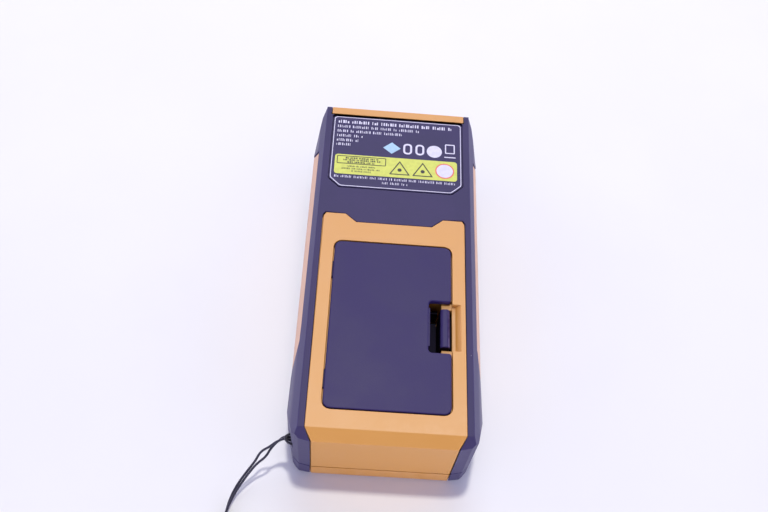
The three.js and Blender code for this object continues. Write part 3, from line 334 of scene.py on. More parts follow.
def snug(skin, *nodes):
    """Moves the corners of skin that stand SEAM_GAP from the named solids to SEAM_LEFT."""
    for name in nodes:
        solid = solid_copy(name)
        neighbour = BVHTree.FromBMesh(solid)
        solid.free()
        for corner in skin.verts:
            way = neighbour.find_nearest(corner.co)[0] - corner.co
            if abs(way.length - SEAM_GAP * MM) < 0.04 * MM:
                corner.co += way * (1 - SEAM_LEFT * MM / way.length)
    return skin


# %% Orange case and black overmould
CASE_ROUND, GRIP_ROUND, STRIP_ROUND = 0.16, 0.2, 0.25
END_DEPTH, TOP_DEPTH, END_HALF = 3.2, 2.2, 20.6
case_low, case_high = (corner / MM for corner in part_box("rear_shell"))


def on_outside(middle):
    ends = middle.y < case_low.y + END_DEPTH or middle.y > case_high.y - END_DEPTH
    return middle.z > case_high.z - TOP_DEPTH or (ends and abs(middle.x) < END_HALF)


rear_case = finish_piece(
    "rear_case",
    round_edges(solid_copy("rear_shell"), CASE_ROUND, reach=on_outside),
    "housing",
    "orange_shell",
    "rear_shell",
)
panel_low, panel_high = (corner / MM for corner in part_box("keypad_bezel"))


def on_front_rim(middle):
    # the lowest edges, but not those of the opening for the panel, which stay crisp
    beside = middle.x < panel_low.x - 1 or middle.x > panel_high.x + 1
    beyond = middle.y < panel_low.y - 1 or middle.y > panel_high.y + 1
    return middle.z < 2.0 and (beside or beyond)


front_case = finish_piece(
    "front_case",
    round_edges(solid_copy("front_shell"), CASE_ROUND, reach=on_front_rim),
    "housing",
    "orange_shell",
    "front_shell",
)
rear_skin = snug(solid_copy("rear_grip"), "rear_shell", "side_strip_left", "side_strip_right")
rear_overmould = finish_piece(
    "rear_overmould", round_edges(rear_skin, GRIP_ROUND), "housing", "black_grip", "rear_grip"
)
front_overmoulds = [
    finish_piece(
        f"front_overmould_{side}",
        round_edges(snug(solid_copy(f"front_grip_{side}"), "front_shell"), STRIP_ROUND),
        "housing",
        "black_grip",
        f"front_grip_{side}",
    )
    for side in ("left", "right")
]
side_strips = [
    finish_piece(
        f"side_panel_{side}",
        round_edges(solid_copy(f"side_strip_{side}"), STRIP_ROUND),
        "housing",
        "orange_soft",
        f"side_strip_{side}",
    )
    for side in ("left", "right")
]

# %% [markdown]
# ## Plates with rounded corners
#
# The door, the keys, the label and the windows are plates. Each starts as the few corners of its
# outline. A vertex bevel turns a corner into an arc, the face is extruded to its thickness, and
# an edge bevel breaks the rim. Holes are cut with the Boolean modifier, on a throwaway object.

# %% Plate helper
def plate(corners, low, high, rim=0.0, rim_segments=3, arc_segments=6, foot=0.0):
    """corners are (x, y, corner radius) in millimetres, counter-clockwise seen from above."""
    shape = bmesh.new()
    knots = [shape.verts.new((x * MM, y * MM, low * MM)) for x, y, _ in corners]
    shape.faces.new(knots)
    for knot, (_, _, radius) in zip(knots, corners):
        if radius > 0:
            bmesh.ops.bevel(
                shape,
                geom=[knot],
                offset=radius * MM,
                offset_type="OFFSET",
                affect="VERTICES",
                segments=arc_segments,
                profile=0.5,
                material=-1,
            )
    floor_face = next(iter(shape.faces))
    raised = bmesh.ops.extrude_face_region(shape, geom=[floor_face], use_keep_orig=True)
    lifted = [item for item in raised["geom"] if isinstance(item, bmesh.types.BMVert)]
    bmesh.ops.translate(shape, verts=lifted, vec=(0, 0, (high - low) * MM))
    bmesh.ops.recalc_face_normals(shape, faces=shape.faces)
    for level, size in ((high, rim), (low, foot)):
        if size > 0:
            edges = [
                edge
                for edge in shape.edges
                if all(abs(knot.co.z - level * MM) < 1e-7 for knot in edge.verts)
            ]
            bmesh.ops.bevel(
                shape,
                geom=edges,
                offset=size * MM,
                offset_type="OFFSET",
                affect="EDGES",
                segments=rim_segments,
                profile=0.5,
                material=-1,
            )
    return shape


def box_corners(x0, x1, y0, y1, radius):
    return [(x0, y0, radius), (x1, y0, radius), (x1, y1, radius), (x0, y1, radius)]


def merged(*shapes):
    whole = bmesh.new()
    for shape in shapes:
        part = bpy.data.meshes.new("part")
        shape.to_mesh(part)
        shape.free()
        whole.from_mesh(part)
        bpy.data.meshes.remove(part)
    return whole


def combine(shape, tools, how="DIFFERENCE"):
    """Cuts each tool out of shape, or joins it on, and gives the result as a bmesh."""
    for tool_shape in tools:
        objects = []
        for label, item in (("work", shape), ("tool", tool_shape)):
            bmesh.ops.triangulate(item, faces=item.faces)
            mesh = bpy.data.meshes.new(label)
            item.to_mesh(mesh)
            item.free()
            objects.append(bpy.data.objects.new(label, mesh))
            bpy.context.scene.collection.objects.link(objects[-1])
        work, tool = objects
        boolean = work.modifiers.new("boolean", "BOOLEAN")
        boolean.object = tool
        boolean.operation = how
        boolean.solver = "EXACT"
        graph = bpy.context.evaluated_depsgraph_get()
        shape = bmesh.new()
        shape.from_mesh(work.evaluated_get(graph).to_mesh())
        work.evaluated_get(graph).to_mesh_clear()
        for item in objects:
            mesh = item.data
            bpy.data.objects.remove(item)
            bpy.data.meshes.remove(mesh)
    bmesh.ops.dissolve_degenerate(shape, dist=SAME_POINT, edges=shape.edges)
    bmesh.ops.dissolve_limit(
        shape,
        angle_limit=math.radians(0.5),
        use_dissolve_boundaries=False,
        verts=shape.verts,
        edges=shape.edges,
    )
    return shape


# %% [markdown]
# ## Battery door and latch
#
# The door is a flat cover with a notch in its right edge. In the notch stands the latch: a pad
# on a springy leg. The outline below has eight corners, four for the door and four for the
# notch. The leg's foot and the two tongues that hook under the frame are joined on. A near-black
# sheet, painted shade, fills the gap beside the leg, and the frame reaches in with a ledge at
# each end of the notch.

# %% Door
door_low, door_high = (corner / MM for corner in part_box("battery_door"))
latch_low, latch_high = (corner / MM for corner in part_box("door_latch"))
DOOR_THICK = 1.6
NOTCH_DEPTH, NOTCH_HALF = 6.1, 7.7
door_x0, door_x1 = -door_high.x, door_high.x
door_under = door_high.z - DOOR_THICK
latch_y = (latch_low.y + latch_high.y) / 2
latch_half = (latch_high.y - latch_low.y) / 2
notch_x = door_x1 - NOTCH_DEPTH


def bar(x0, x1, y0, y1, z0, z1, rim=0.12, foot=0.0, corner=0.15):
    return plate(box_corners(x0, x1, y0, y1, corner), z0, z1, rim=rim, foot=foot, arc_segments=2)


door_corners = [
    (door_x0, door_low.y, 2.0),
    (door_x1, door_low.y, 2.0),
    (door_x1, latch_y - NOTCH_HALF, 0.8),
    (notch_x, latch_y - NOTCH_HALF, 1.0),
    (notch_x, latch_y + NOTCH_HALF, 1.0),
    (door_x1, latch_y + NOTCH_HALF, 0.8),
    (door_x1, door_high.y, 2.0),
    (door_x0, door_high.y, 2.0),
]
door_plate = plate(door_corners, door_under, door_high.z, rim=0.35, rim_segments=4, arc_segments=8)
# the leg starts from an upright wall at the notch and a foot along the bottom
FOOT_THICK, WALL_START = 1, notch_x - 0.6
along_latch = (latch_y - latch_half, latch_y + latch_half)
foot_top = door_low.z + FOOT_THICK
door_extras = [
    bar(WALL_START, notch_x + 0.4, *along_latch, door_low.z, door_high.z - 0.4),
    bar(WALL_START, latch_low.x - 0.3, *along_latch, door_low.z, foot_top),
]
TONGUE_SHARE, TONGUE_HALF, TONGUE_REACH = 0.17, 2.5, 3
TONGUE_DROP, TONGUE_OVERLAP = 1.2, 0.2
tongue_inset = TONGUE_SHARE * (door_high.y - door_low.y)
for tongue_y in (door_low.y + tongue_inset, door_high.y - tongue_inset):
    sides = (tongue_y - TONGUE_HALF, tongue_y + TONGUE_HALF)
    levels = (door_under - TONGUE_DROP, door_under + TONGUE_OVERLAP)
    door_extras.append(bar(door_low.x, door_x0 + TONGUE_REACH, *sides, *levels))
battery_cover = finish_piece(
    "battery_cover", combine(door_plate, door_extras, "UNION"), "door", "door_black", "battery_door"
)

# %% Painted shade sheet beside the leg
# painted shade: one dark strip stands at the notch's far end, and a thinner one lies on the leg's foot, where
# the gap is in shade
STRIP_THICK, STRIP_TOP, FOOT_SHADE_SHEET_TOP = 0.8, 20.4, 1.3
shade_sheet_start, shade_sheet_y = notch_x + 0.5, latch_y + NOTCH_HALF - 0.2
end_shade_sheet = bar(shade_sheet_start, latch_low.x - 0.2, shade_sheet_y - STRIP_THICK, shade_sheet_y, door_low.z, STRIP_TOP)
foot_shade_sheet = bar(shade_sheet_start, latch_low.x - 0.15, *along_latch, foot_top, door_low.z + FOOT_SHADE_SHEET_TOP)
# a dark sheet that is painted shade in the gap beside the leg, not a real part
gap_shade_sheet = finish_piece("gap_shade_sheet", merged(end_shade_sheet, foot_shade_sheet), "door", "foam")

# %% Ledges beside the latch
# the frame reaches in under both ends of the notch, a little above the finger recess
LEDGE_TOP, LEDGE_THICK, LEDGE_GAP = 24.0, 1.4, 0.4
ledge_near, ledge_far = latch_half + LEDGE_GAP, NOTCH_HALF + LEDGE_GAP
ledge_sides = [(latch_low.x + LEDGE_GAP, door_x1 + LEDGE_GAP), (LEDGE_TOP - LEDGE_THICK, LEDGE_TOP)]
ledges = [
    bar(*ledge_sides[0], low, high, *ledge_sides[1])
    for low, high in (
        (latch_y + ledge_near, latch_y + ledge_far),
        (latch_y - ledge_far, latch_y - ledge_near),
    )
]
latch_ledges = finish_piece("latch_ledges", merged(*ledges), "housing", "orange_shell")

# %% Latch
PAD_ROUND, PAD_DEPTH = 0.28, 3


def on_pad(middle):
    return middle.z > latch_high.z - PAD_DEPTH


latch_pad = finish_piece(
    "latch_pad",
    round_edges(solid_copy("door_latch"), PAD_ROUND, segments=4, reach=on_pad),
    "latch",
    "door_black",
    "door_latch",
)

# %% [markdown]
# ## Rating label
#
# The label is a dark film in a shallow pocket, with its two lower corners cut off. The ink is
# built as very thin plates, one mesh for each colour, so its edges stay crisp at any distance.
# The border is a face inset from the film's outline. Rows of small bars stand for text, and the
# symbols are plain shapes.

# %% Film and border
film_low, film_high = (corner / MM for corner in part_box("rating_label"))
INK = 0.03
ink_base = film_high.z
# the two lower corners are cut off by this much across and up
CUT_ACROSS, CUT_UP = 3.2, 3
CUT_ROUND, TOP_ROUND = 0.5, 0.9


def film_outline(margin):
    left, right = film_low.x + margin, film_high.x - margin
    bottom, top = film_low.y + margin, film_high.y - margin
    closer = 0.4 * margin
    return [
        (left, bottom + CUT_UP - closer, CUT_ROUND),
        (left + CUT_ACROSS - closer, bottom, CUT_ROUND),
        (right - CUT_ACROSS + closer, bottom, CUT_ROUND),
        (right, bottom + CUT_UP - closer, CUT_ROUND),
        (right, top, TOP_ROUND),
        (left, top, TOP_ROUND),
    ]


label_film = finish_piece(
    "label_film",
    plate(film_outline(0), film_low.z, film_high.z, rim=0.05, rim_segments=1),
    "housing",
    "label_film",
    "rating_label",
)
BORDER_OUT, BORDER_IN = 0.3, 0.52
border = combine(
    plate(film_outline(BORDER_OUT), ink_base, ink_base + INK),
    [plate(film_outline(BORDER_IN), ink_base - 1, ink_base + 1)],
)
print("border faces:", len(border.faces))

# %% Ink shapes
white_ink = [border]
yellow_ink, black_ink, blue_ink, red_ink = [], [], [], []


def ink_box(x0, x1, y0, y1, radius=0.0, layer=0):
    base = ink_base + layer * INK
    return plate(box_corners(x0, x1, y0, y1, radius), base, base + INK, arc_segments=4)


def ink_frame(x0, x1, y0, y1, line, radius, layer=0):
    base = ink_base + layer * INK
    hole = box_corners(x0 + line, x1 - line, y0 + line, y1 - line, max(radius - line, 0.05))
    return combine(ink_box(x0, x1, y0, y1, radius, layer), [plate(hole, base - 1, base + 1)])


def ink_disc(x, y, radius, layer=0, hole=0.0):
    disc = bmesh.new()
    centre = Matrix.Translation(Vector((x, y, ink_base + (layer + 0.5) * INK)) * MM)
    size = {"cap_ends": True, "segments": 40, "depth": INK * MM}
    bmesh.ops.create_cone(disc, radius1=radius * MM, radius2=radius * MM, matrix=centre, **size)
    if hole:
        middle = bmesh.new()
        size["depth"] = 1 * MM
        bmesh.ops.create_cone(middle, radius1=hole * MM, radius2=hole * MM, matrix=centre, **size)
        disc = combine(disc, [middle])
    return disc


def ink_polygon(points, layer=0, radius=0.0):
    base = ink_base + layer * INK
    return plate([(x, y, radius) for x, y in points], base, base + INK, arc_segments=3)


def triangle(x, bottom, half, top):
    return [(x - half, bottom), (x + half, bottom), (x, top)]


def ink_triangle(x, bottom, half, height, line, layer):
    outer = triangle(x, bottom, half, bottom + height)
    # a border of one width sets the foot corners in by more than the foot itself
    inner = triangle(x, bottom + line, half - 1.75 * line, bottom + height - 2 * line)
    base = ink_base + layer * INK
    hole = plate([(px, py, 0) for px, py in inner], base - 1, base + 1)
    return combine(ink_polygon(outer, layer, 0.15), [hole])


WORDS = (5, 8, 3, 7, 9, 4, 6, 2, 8, 5, 10, 4, 7, 3, 6)
BAR_WIDTHS = (0.8, 0.45, 1.0, 0.6, 0.9, 0.5, 0.7)


def ink_text(x0, x1, y0, height, layer=0, first_word=0, weight=0.62):
    """A row of small bars in words of different lengths, which stands for text."""
    row = bmesh.new()
    x, word, letters = x0, first_word, WORDS[first_word % len(WORDS)]
    step = 0.6 * height
    count = 0
    while x + step < x1:
        if letters == 0:
            word += 1
            letters = WORDS[word % len(WORDS)]
            x += step
            continue
        tall = height * (1.0 if (count * 7 + word) % 4 else 0.7)
        wide = weight * step * BAR_WIDTHS[(count + word) % len(BAR_WIDTHS)]
        middle = Vector((x + wide / 2, y0 + tall / 2, ink_base + (layer + 0.5) * INK)) * MM
        size = Matrix.Diagonal(Vector((wide, tall, INK)) * MM).to_4x4()
        bmesh.ops.create_cube(row, size=1, matrix=Matrix.Translation(middle) @ size)
        x += step
        letters -= 1
        count += 1
    return row


# %% What is printed
# rows of text, from the title down to the two rows under the yellow panel
for x0, x1, y0, height, word, weight in (
    (-18.2, 17.9, 47.55, 1.15, 0, 0.78),
    (-18.3, 7.0, 45.75, 0.95, 3, 0.6),
    (-18.3, 2.0, 43.95, 0.95, 6, 0.6),
    (-18.3, -9.9, 42.15, 0.95, 1, 0.6),
    (-18.3, -11.4, 40.4, 0.95, 4, 0.6),
    (-18.3, -12.7, 38.75, 0.95, 8, 0.6),
    (-18.2, 18.0, 26.65, 0.8, 2, 0.55),
    (-4.0, 3.8, 25.15, 0.8, 5, 0.55),
):
    white_ink.append(ink_text(x0, x1, y0, height, first_word=word, weight=weight))
# plain symbols: two small frames, a disc, a box over a bar and a blue diamond
white_ink.append(ink_frame(1.9, 4.6, 37.0, 41.1, 0.6, 1.2))
white_ink.append(ink_frame(5.6, 8.3, 37.0, 41.1, 0.6, 1.2))
white_ink.append(ink_disc(11.35, 38.8, 2.3))
white_ink.append(ink_frame(14.6, 17.6, 38.4, 42.0, 0.35, 0.3))
white_ink.append(ink_box(14.4, 17.8, 36.8, 37.15))
blue_ink.append(ink_polygon([(-4.2, 39.0), (-1.55, 36.8), (1.1, 39.0), (-1.55, 41.2)]))
# the yellow panel with its boxed rows, two triangles, each round a dot, and a ring
yellow_ink.append(ink_box(-18.4, 18.2, 28.0, 35.3, 0.9))
black_ink.append(ink_frame(-17.8, -3.1, 31.8, 34.8, 0.24, 0.4, layer=1))
for x0, x1, y0, word in ((-15.2, -5.4, 33.75, 2), (-15.9, -4.8, 33.0, 5), (-14.6, -6.2, 32.2, 9)):
    black_ink.append(ink_text(x0, x1, y0, 0.56, layer=1, first_word=word, weight=0.95))
for x0, x1, y0, word in ((-14.6, -6.0, 30.7, 1), (-16.2, -4.6, 29.8, 4), (-13.2, -7.4, 28.9, 7)):
    black_ink.append(ink_text(x0, x1, y0, 0.5, layer=1, first_word=word, weight=0.75))
for middle in (1.0, 7.9):
    black_ink.append(ink_triangle(middle, 29.0, 3.1, 5.2, 0.32, 1))
    black_ink.append(ink_disc(middle, 30.8, 0.62, layer=1))
white_ink.append(ink_disc(14.5, 31.6, 2.45, layer=1))
red_ink.append(ink_disc(14.5, 31.6, 2.85, layer=1, hole=2.45))

ink_pieces = {}
for colour, shapes in (
    ("white", white_ink),
    ("yellow", yellow_ink),
    ("black", black_ink),
    ("blue", blue_ink),
    ("red", red_ink),
):
    ink_pieces[colour] = finish_piece(f"label_ink_{colour}", merged(*shapes), "housing", "label_film")

# %% [markdown]
# ## Front face
#
# The front lies on the table, but it is there when the meter is turned over: a hard panel with a
# display window and nine rubber keys. Each key is a plate with a generously rounded rim on a thin
# flange, so that it can't fall out. The panel's openings are the keys' outlines grown by the gap.

# %% Keys
KEY_GAP, KEY_FLANGE = 0.3, 0.6
KEY_CORNER, MEASURE_CORNER = 1.6, 6.55
key_nodes = [name for name in frame["nodes"] if name.startswith("key_") and name != "key_mat"]
window_low, window_high = (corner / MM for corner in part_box("display_window"))


def key_outline(key, room):
    low, high = (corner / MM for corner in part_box(key))
    radius = MEASURE_CORNER if key == "key_measure" else KEY_CORNER
    grow = room - KEY_FLANGE
    corners = (low.x - grow, high.x + grow, low.y - grow, high.y + grow)
    return box_corners(*corners, radius + max(room, 0))


key_pieces = {}
for key in key_nodes:
    low, high = (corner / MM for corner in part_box(key))
    fine = 14 if key == "key_measure" else 5
    stem = plate(key_outline(key, 0), low.z, high.z - 0.2, foot=0.55, rim_segments=4, arc_segments=fine)
    flange = plate(key_outline(key, KEY_FLANGE), panel_high.z + KEY_GAP, high.z, arc_segments=fine)
    key_shape = combine(stem, [flange], "UNION")
    body = key.replace("key_", "button_")
    slot = "key_orange" if key == "key_measure" else "key_grey"
    key_pieces[key] = finish_piece(key.replace("key_", "rubber_key_"), key_shape, body, slot, key)

# %% Panel round the keys and the display
RIGHT_THROUGH = (-2, 6)
WINDOW_GAP = 0.3
openings = [plate(key_outline(key, KEY_GAP), *RIGHT_THROUGH, arc_segments=10) for key in key_nodes]
window_hole = box_corners(
    window_low.x - WINDOW_GAP,
    window_high.x + WINDOW_GAP,
    window_low.y - WINDOW_GAP,
    window_high.y + WINDOW_GAP,
    1.8,
)
openings.append(plate(window_hole, *RIGHT_THROUGH))
panel_outline = box_corners(panel_low.x, panel_high.x, panel_low.y, panel_high.y, 3)
panel = plate(panel_outline, panel_low.z, panel_high.z, foot=0.3, arc_segments=8)
front_panel = finish_piece(
    "front_panel", combine(panel, openings), "housing", "black_panel", "keypad_bezel"
)
display_outline = box_corners(window_low.x, window_high.x, window_low.y, window_high.y, 1.5)
display_glass = finish_piece(
    "display_glass",
    plate(display_outline, window_low.z, window_high.z, foot=0.15),
    "housing",
    "window_clear",
    "display_window",
)

# %% [markdown]
# ## Optics at the laser end
#
# Two round parts look out of the nose: the small laser window and the large receiver lens. Round
# parts are spun: a profile of radius and depth turns once about its axis, and the last step is
# merged with the first so that no seam is left.

# %% Turned pieces
def turned(profile, x, z, steps=48):
    """Spins (radius, y) pairs, in millimetres, about a line along Y through (x, z)."""
    shape = bmesh.new()
    knots = [shape.verts.new((radius * MM, y * MM, 0)) for radius, y in profile]
    edges = [shape.edges.new(pair) for pair in zip(knots, knots[1:])]
    bmesh.ops.spin(
        shape,
        geom=knots + edges,
        cent=(0, 0, 0),
        axis=(0, 1, 0),
        dvec=(0, 0, 0),
        angle=2 * math.pi,
        steps=steps,
        use_merge=True,
    )
    bmesh.ops.remove_doubles(shape, verts=shape.verts, dist=0.001 * MM)
    bmesh.ops.recalc_face_normals(shape, faces=shape.faces)
    bmesh.ops.translate(shape, verts=shape.verts, vec=(x * MM, 0, z * MM))
    return shape


lens_low, lens_high = (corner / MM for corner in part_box("receiver_lens"))
window_near, window_far = (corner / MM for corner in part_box("laser_window"))
lens_x, axis_z = (lens_low.x + lens_high.x) / 2, (lens_low.z + lens_high.z) / 2
laser_x = (window_near.x + window_far.x) / 2
lens_radius = (lens_high.x - lens_low.x) / 2

# %% Nose plate, lens and laser window
nose_plate = finish_piece(
    "nose_cover",
    round_edges(solid_copy("nose_plate"), 0.2, sharper_than=50),
    "housing",
    "black_panel",
    "nose_plate",
)
DOME_DEPTH, DOME_SHARE = 1.2, 1.7
dome = [
    (lens_radius * math.sin(angle), lens_high.y - DOME_DEPTH * (1 - math.cos(angle)) * DOME_SHARE)
    for angle in (0.25, 0.55, 0.85)
]
lens_profile = [(0, lens_low.y), (lens_radius - 0.2, lens_low.y), (lens_radius, lens_low.y + 0.2)]
lens_profile += [(lens_radius, lens_high.y - 1.3), (lens_radius - 0.2, lens_high.y - 1.1)]
lens_profile += [(radius, y) for radius, y in reversed(dome)] + [(0, lens_high.y)]
receiver_glass = finish_piece(
    "receiver_glass",
    turned(lens_profile, lens_x, axis_z, 64),
    "housing",
    "receiver_glass",
    "receiver_lens",
)
window_radius = (window_far.x - window_near.x) / 2
window_profile = [(0, window_near.y), (window_radius, window_near.y), (window_radius, window_far.y - 0.15)]
window_profile += [(window_radius - 0.15, window_far.y), (0, window_far.y)]
laser_glass = finish_piece(
    "laser_glass", turned(window_profile, laser_x, axis_z, 40), "housing", "lens_clear", "laser_window"
)

# %% [markdown]
# ## Under the door
#
# With the door open two cells show, each with a crimped steel end, a printed sleeve and a button.
# Their contact plates stay as they are. The conical springs are curves, so that the wire is round
# all the way along.

# %% Cells and springs
CELL_LENGTH, CRIMP = 44.4, 0.06


def cell_piece(solid, name, towards):
    low, high = (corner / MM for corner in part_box(solid))
    radius = (high.x - low.x) / 2
    tip, tail = (high.y, low.y) if towards > 0 else (low.y, high.y)
    # radius and distance from the button's face
    button = [(0, 0), (1.6, 0), (1.9, 0.25), (1.9, 0.9), (3.4, 0.95), (3.7, 1.15), (4.4, 1.0)]
    shoulder = [(radius - 0.15, 1.15), (radius, 1.5), (radius, 2.1)]
    printed = [(radius - CRIMP, 2.2), (radius - CRIMP, 42.4)]
    base = [(radius, 42.6), (radius, 43.9), (radius - 0.3, 44.3), (3.9, CELL_LENGTH)]
    profile = button + shoulder + printed + base + [(3.5, 44.1), (0, 44.1)]
    length = abs(tip - tail)
    placed = [(r, tip - towards * distance * length / CELL_LENGTH) for r, distance in profile]
    middle = ((low.x + high.x) / 2, (low.z + high.z) / 2)
    return finish_piece(name, turned(placed, *middle, 40), "housing", "cell", solid)


cells = [cell_piece("battery_1", "cell_left", 1), cell_piece("battery_2", "cell_right", -1)]


WIRE = 0.6
WIDE_END, NARROW_END = 3.4, 1.7
SPRING_TURNS, SPRING_STEPS = 3, 60


def spring_piece(solid, name, towards):
    low, high = (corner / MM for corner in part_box(solid))
    middle = (low + high) / 2
    start = low.y if towards > 0 else high.y
    route = []
    for step in range(SPRING_STEPS + 1):
        t = step / SPRING_STEPS
        radius = WIDE_END + (NARROW_END - WIDE_END) * t
        y = start + towards * (WIRE / 2 + t * (high.y - low.y - WIRE))
        angle = t * 2 * SPRING_TURNS * math.pi
        route.append((middle.x + radius * math.cos(angle), y, middle.z + radius * math.sin(angle)))
    coil = round_cord(name, route, WIRE * MM, 3)[0]
    return finish_piece(name, coil, "housing", "contact_plate", solid)


springs = [
    spring_piece("battery_spring_1", "coil_spring_left", 1),
    spring_piece("battery_spring_2", "coil_spring_right", -1),
]

# %% [markdown]
# ## Ferrule and tie
#
# The ferrule is a soft plastic cone with two grip rings. The tie is a flat band round the wound
# cord: a circle pressed into an oval, drawn out to its width, and given a wall by solidify.

# %% Ferrule and tie
ferrule_profile = [
    (0, -74.5), (1.0, -74.5), (1.25, -74.7), (1.5, -75.2), (1.9, -76.0), (2.3, -77.2), (2.6, -78.4),
    (2.62, -78.8), (2.45, -78.95), (2.45, -79.35), (2.68, -79.5), (2.75, -80.0), (2.6, -80.15),
    (2.6, -80.55), (2.8, -80.7), (2.88, -81.6), (2.85, -82.1), (2.5, -82.48), (0, -82.5),
]
strap_end = finish_piece(
    "cord_ferrule",
    turned(ferrule_profile, ferrule_end.x, ferrule_end.z, 48),
    "housing",
    "ferrule_black",
    "strap_ferrule",
)

TIE_HALF, TIE_WIDTH, TIE_WALL = (3.05, 2.6), 4, 0.3
TIE_RADIUS, TIE_HEIGHT = 14.1, 2.93
tie_shape = bmesh.new()
bmesh.ops.create_circle(tie_shape, segments=40, radius=1)
rim_edges = list(tie_shape.edges)
# the unit circle becomes an oval across the wound turns, then a band along them
bmesh.ops.scale(tie_shape, verts=tie_shape.verts, vec=(TIE_HALF[0] * MM, TIE_HALF[1] * MM, 1))
band = bmesh.ops.extrude_edge_only(tie_shape, edges=rim_edges)
band_verts = [item for item in band["geom"] if isinstance(item, bmesh.types.BMVert)]
bmesh.ops.translate(tie_shape, verts=band_verts, vec=(0, 0, TIE_WIDTH * MM))
bmesh.ops.recalc_face_normals(tie_shape, faces=tie_shape.faces)
bmesh.ops.solidify(tie_shape, geom=list(tie_shape.faces), thickness=TIE_WALL * MM)
tie_angle = math.radians(TIE_ANGLE)
outward = Vector((math.cos(tie_angle), math.sin(tie_angle), 0))
upward = Vector((0, 0, 1))
onward = outward.cross(upward)
tie_turn = Matrix((outward, upward, onward)).transposed().to_4x4()
tie_middle = coil_centre + outward * TIE_RADIUS + upward * TIE_HEIGHT - onward * TIE_WIDTH / 2
placing = Matrix.Translation(tie_middle * MM) @ tie_turn
bmesh.ops.transform(tie_shape, verts=tie_shape.verts, matrix=placing)
bmesh.ops.recalc_face_normals(tie_shape, faces=tie_shape.faces)
cord_tie = finish_piece("cord_tie", tie_shape, "housing", "ferrule_black")

# %% Cords on their bodies
string_hitch = finish_piece("string_hitch", hitch_line[0], "housing", "string_black")
strings = []
for name, (tube, middle, length) in string_lines.items():
    string = finish_piece(name, tube, "housing", "string_black", "strap_" + name)
    strings.append(string)
wrist_nodes = ["wrist_coil", "wrist_lead_in", "wrist_lead_out"]
wrist_cord = finish_piece("wrist_cord", wrist_line[0], "housing", "wrist_cord", *wrist_nodes)

# %% [markdown]
# ## Shared surface effects
#
# Four effects come back in many finishes, so each is a node group with named sockets: the fine
# grain of a moulded surface, a slow drift of colour, pale edges that are partly rubbed wear and
# partly a painted highlight, and specks of dust. A group gives only a colour, a mask or a
# normal. The shader itself stays in each material.

# %% Node group helper
def new_group(name, inputs, outputs):
    group = bpy.data.node_groups.new(name, "ShaderNodeTree")
    for direction, sockets in (("INPUT", inputs), ("OUTPUT", outputs)):
        for label, kind, value in sockets:
            socket = group.interface.new_socket(name=label, in_out=direction, socket_type=kind)
            if value is not None:
                socket.default_value = value
    return group, group.nodes.new("NodeGroupInput"), group.nodes.new("NodeGroupOutput")


def node(tree, kind, links=(), **settings):
    """Adds a node; links maps its input names or numbers to output sockets or to plain values."""
    made = tree.nodes.new(kind)
    for key, value in settings.items():
        setattr(made, key, value)
    for key, value in dict(links).items():
        if isinstance(value, bpy.types.NodeSocket):
            tree.links.new(value, made.inputs[key])
        else:
            made.inputs[key].default_value = value
    return made


def both(tree, first, second, operation="MULTIPLY"):
    return node(tree, "ShaderNodeMath", {0: first, 1: second}, operation=operation).outputs[0]


FLOAT, COLOUR, VECTOR = "NodeSocketFloat", "NodeSocketColor", "NodeSocketVector"

# %% Moulded grain
grain, grain_in, grain_out = new_group(
    "moulded_grain",
    [("Vector", VECTOR, None), ("Scale", FLOAT, 2500.0), ("Depth", FLOAT, 0.00002)],
    [("Normal", VECTOR, None), ("Grain", FLOAT, None)],
)
cells_noise = node(
    grain, "ShaderNodeTexVoronoi", {"Vector": grain_in.outputs[0], "Scale": grain_in.outputs[1]}
)
fine_noise = node(
    grain,
    "ShaderNodeTexNoise",
    {"Vector": grain_in.outputs[0], "Scale": grain_in.outputs[1], "Detail": 4.0, "Roughness": 0.6},
)
grain_height = both(grain, cells_noise.outputs["Distance"], fine_noise.outputs[0])
grain_bump = node(
    grain,
    "ShaderNodeBump",
    {"Height": grain_height, "Distance": grain_in.outputs[2], "Strength": 1.0},
)
grain.links.new(grain_bump.outputs[0], grain_out.inputs[0])
grain.links.new(grain_height, grain_out.inputs[1])

# %% Drift of colour
drift, drift_in, drift_out = new_group(
    "colour_drift",
    [("Vector", VECTOR, None), ("Scale", FLOAT, 60.0), ("Light", COLOUR, None), ("Dark", COLOUR, None)],
    [("Colour", COLOUR, None), ("Drift", FLOAT, None)],
)
drift_noise = node(
    drift,
    "ShaderNodeTexNoise",
    {"Vector": drift_in.outputs[0], "Scale": drift_in.outputs[1], "Detail": 3.0, "Roughness": 0.55},
)
drift_range = node(
    drift,
    "ShaderNodeMapRange",
    {"Value": drift_noise.outputs[0], "From Min": 0.35, "From Max": 0.65},
    interpolation_type="SMOOTHSTEP",
)
drift_mix = node(
    drift,
    "ShaderNodeMix",
    {0: drift_range.outputs[0], 6: drift_in.outputs[3], 7: drift_in.outputs[2]},
    data_type="RGBA",
)
drift.links.new(drift_mix.outputs[2], drift_out.inputs[0])
drift.links.new(drift_range.outputs[0], drift_out.inputs[1])

# %% Rubbed edges with a painted highlight
worn_highlit, worn_highlit_in, worn_highlit_out = new_group(
    "worn_highlit_edges", [("Vector", VECTOR, None), ("Amount", FLOAT, 0.5)], [("Mask", FLOAT, None)]
)
# the mask lightens sharp convex edges in patches: partly rubbed wear and partly a painted edge highlight
geometry = node(worn_highlit, "ShaderNodeNewGeometry")
sharpness = node(
    worn_highlit,
    "ShaderNodeMapRange",
    {"Value": geometry.outputs["Pointiness"], "From Min": 0.54, "From Max": 0.64},
)
patches = node(
    worn_highlit, "ShaderNodeTexNoise", {"Vector": worn_highlit_in.outputs[0], "Scale": 420.0, "Detail": 3.0}
)
patch_range = node(
    worn_highlit, "ShaderNodeMapRange", {"Value": patches.outputs[0], "From Min": 0.4, "From Max": 0.62}
)
worn_highlit_mask = both(worn_highlit, sharpness.outputs[0], patch_range.outputs[0])
worn_highlit.links.new(both(worn_highlit, worn_highlit_mask, worn_highlit_in.outputs[1]), worn_highlit_out.inputs[0])

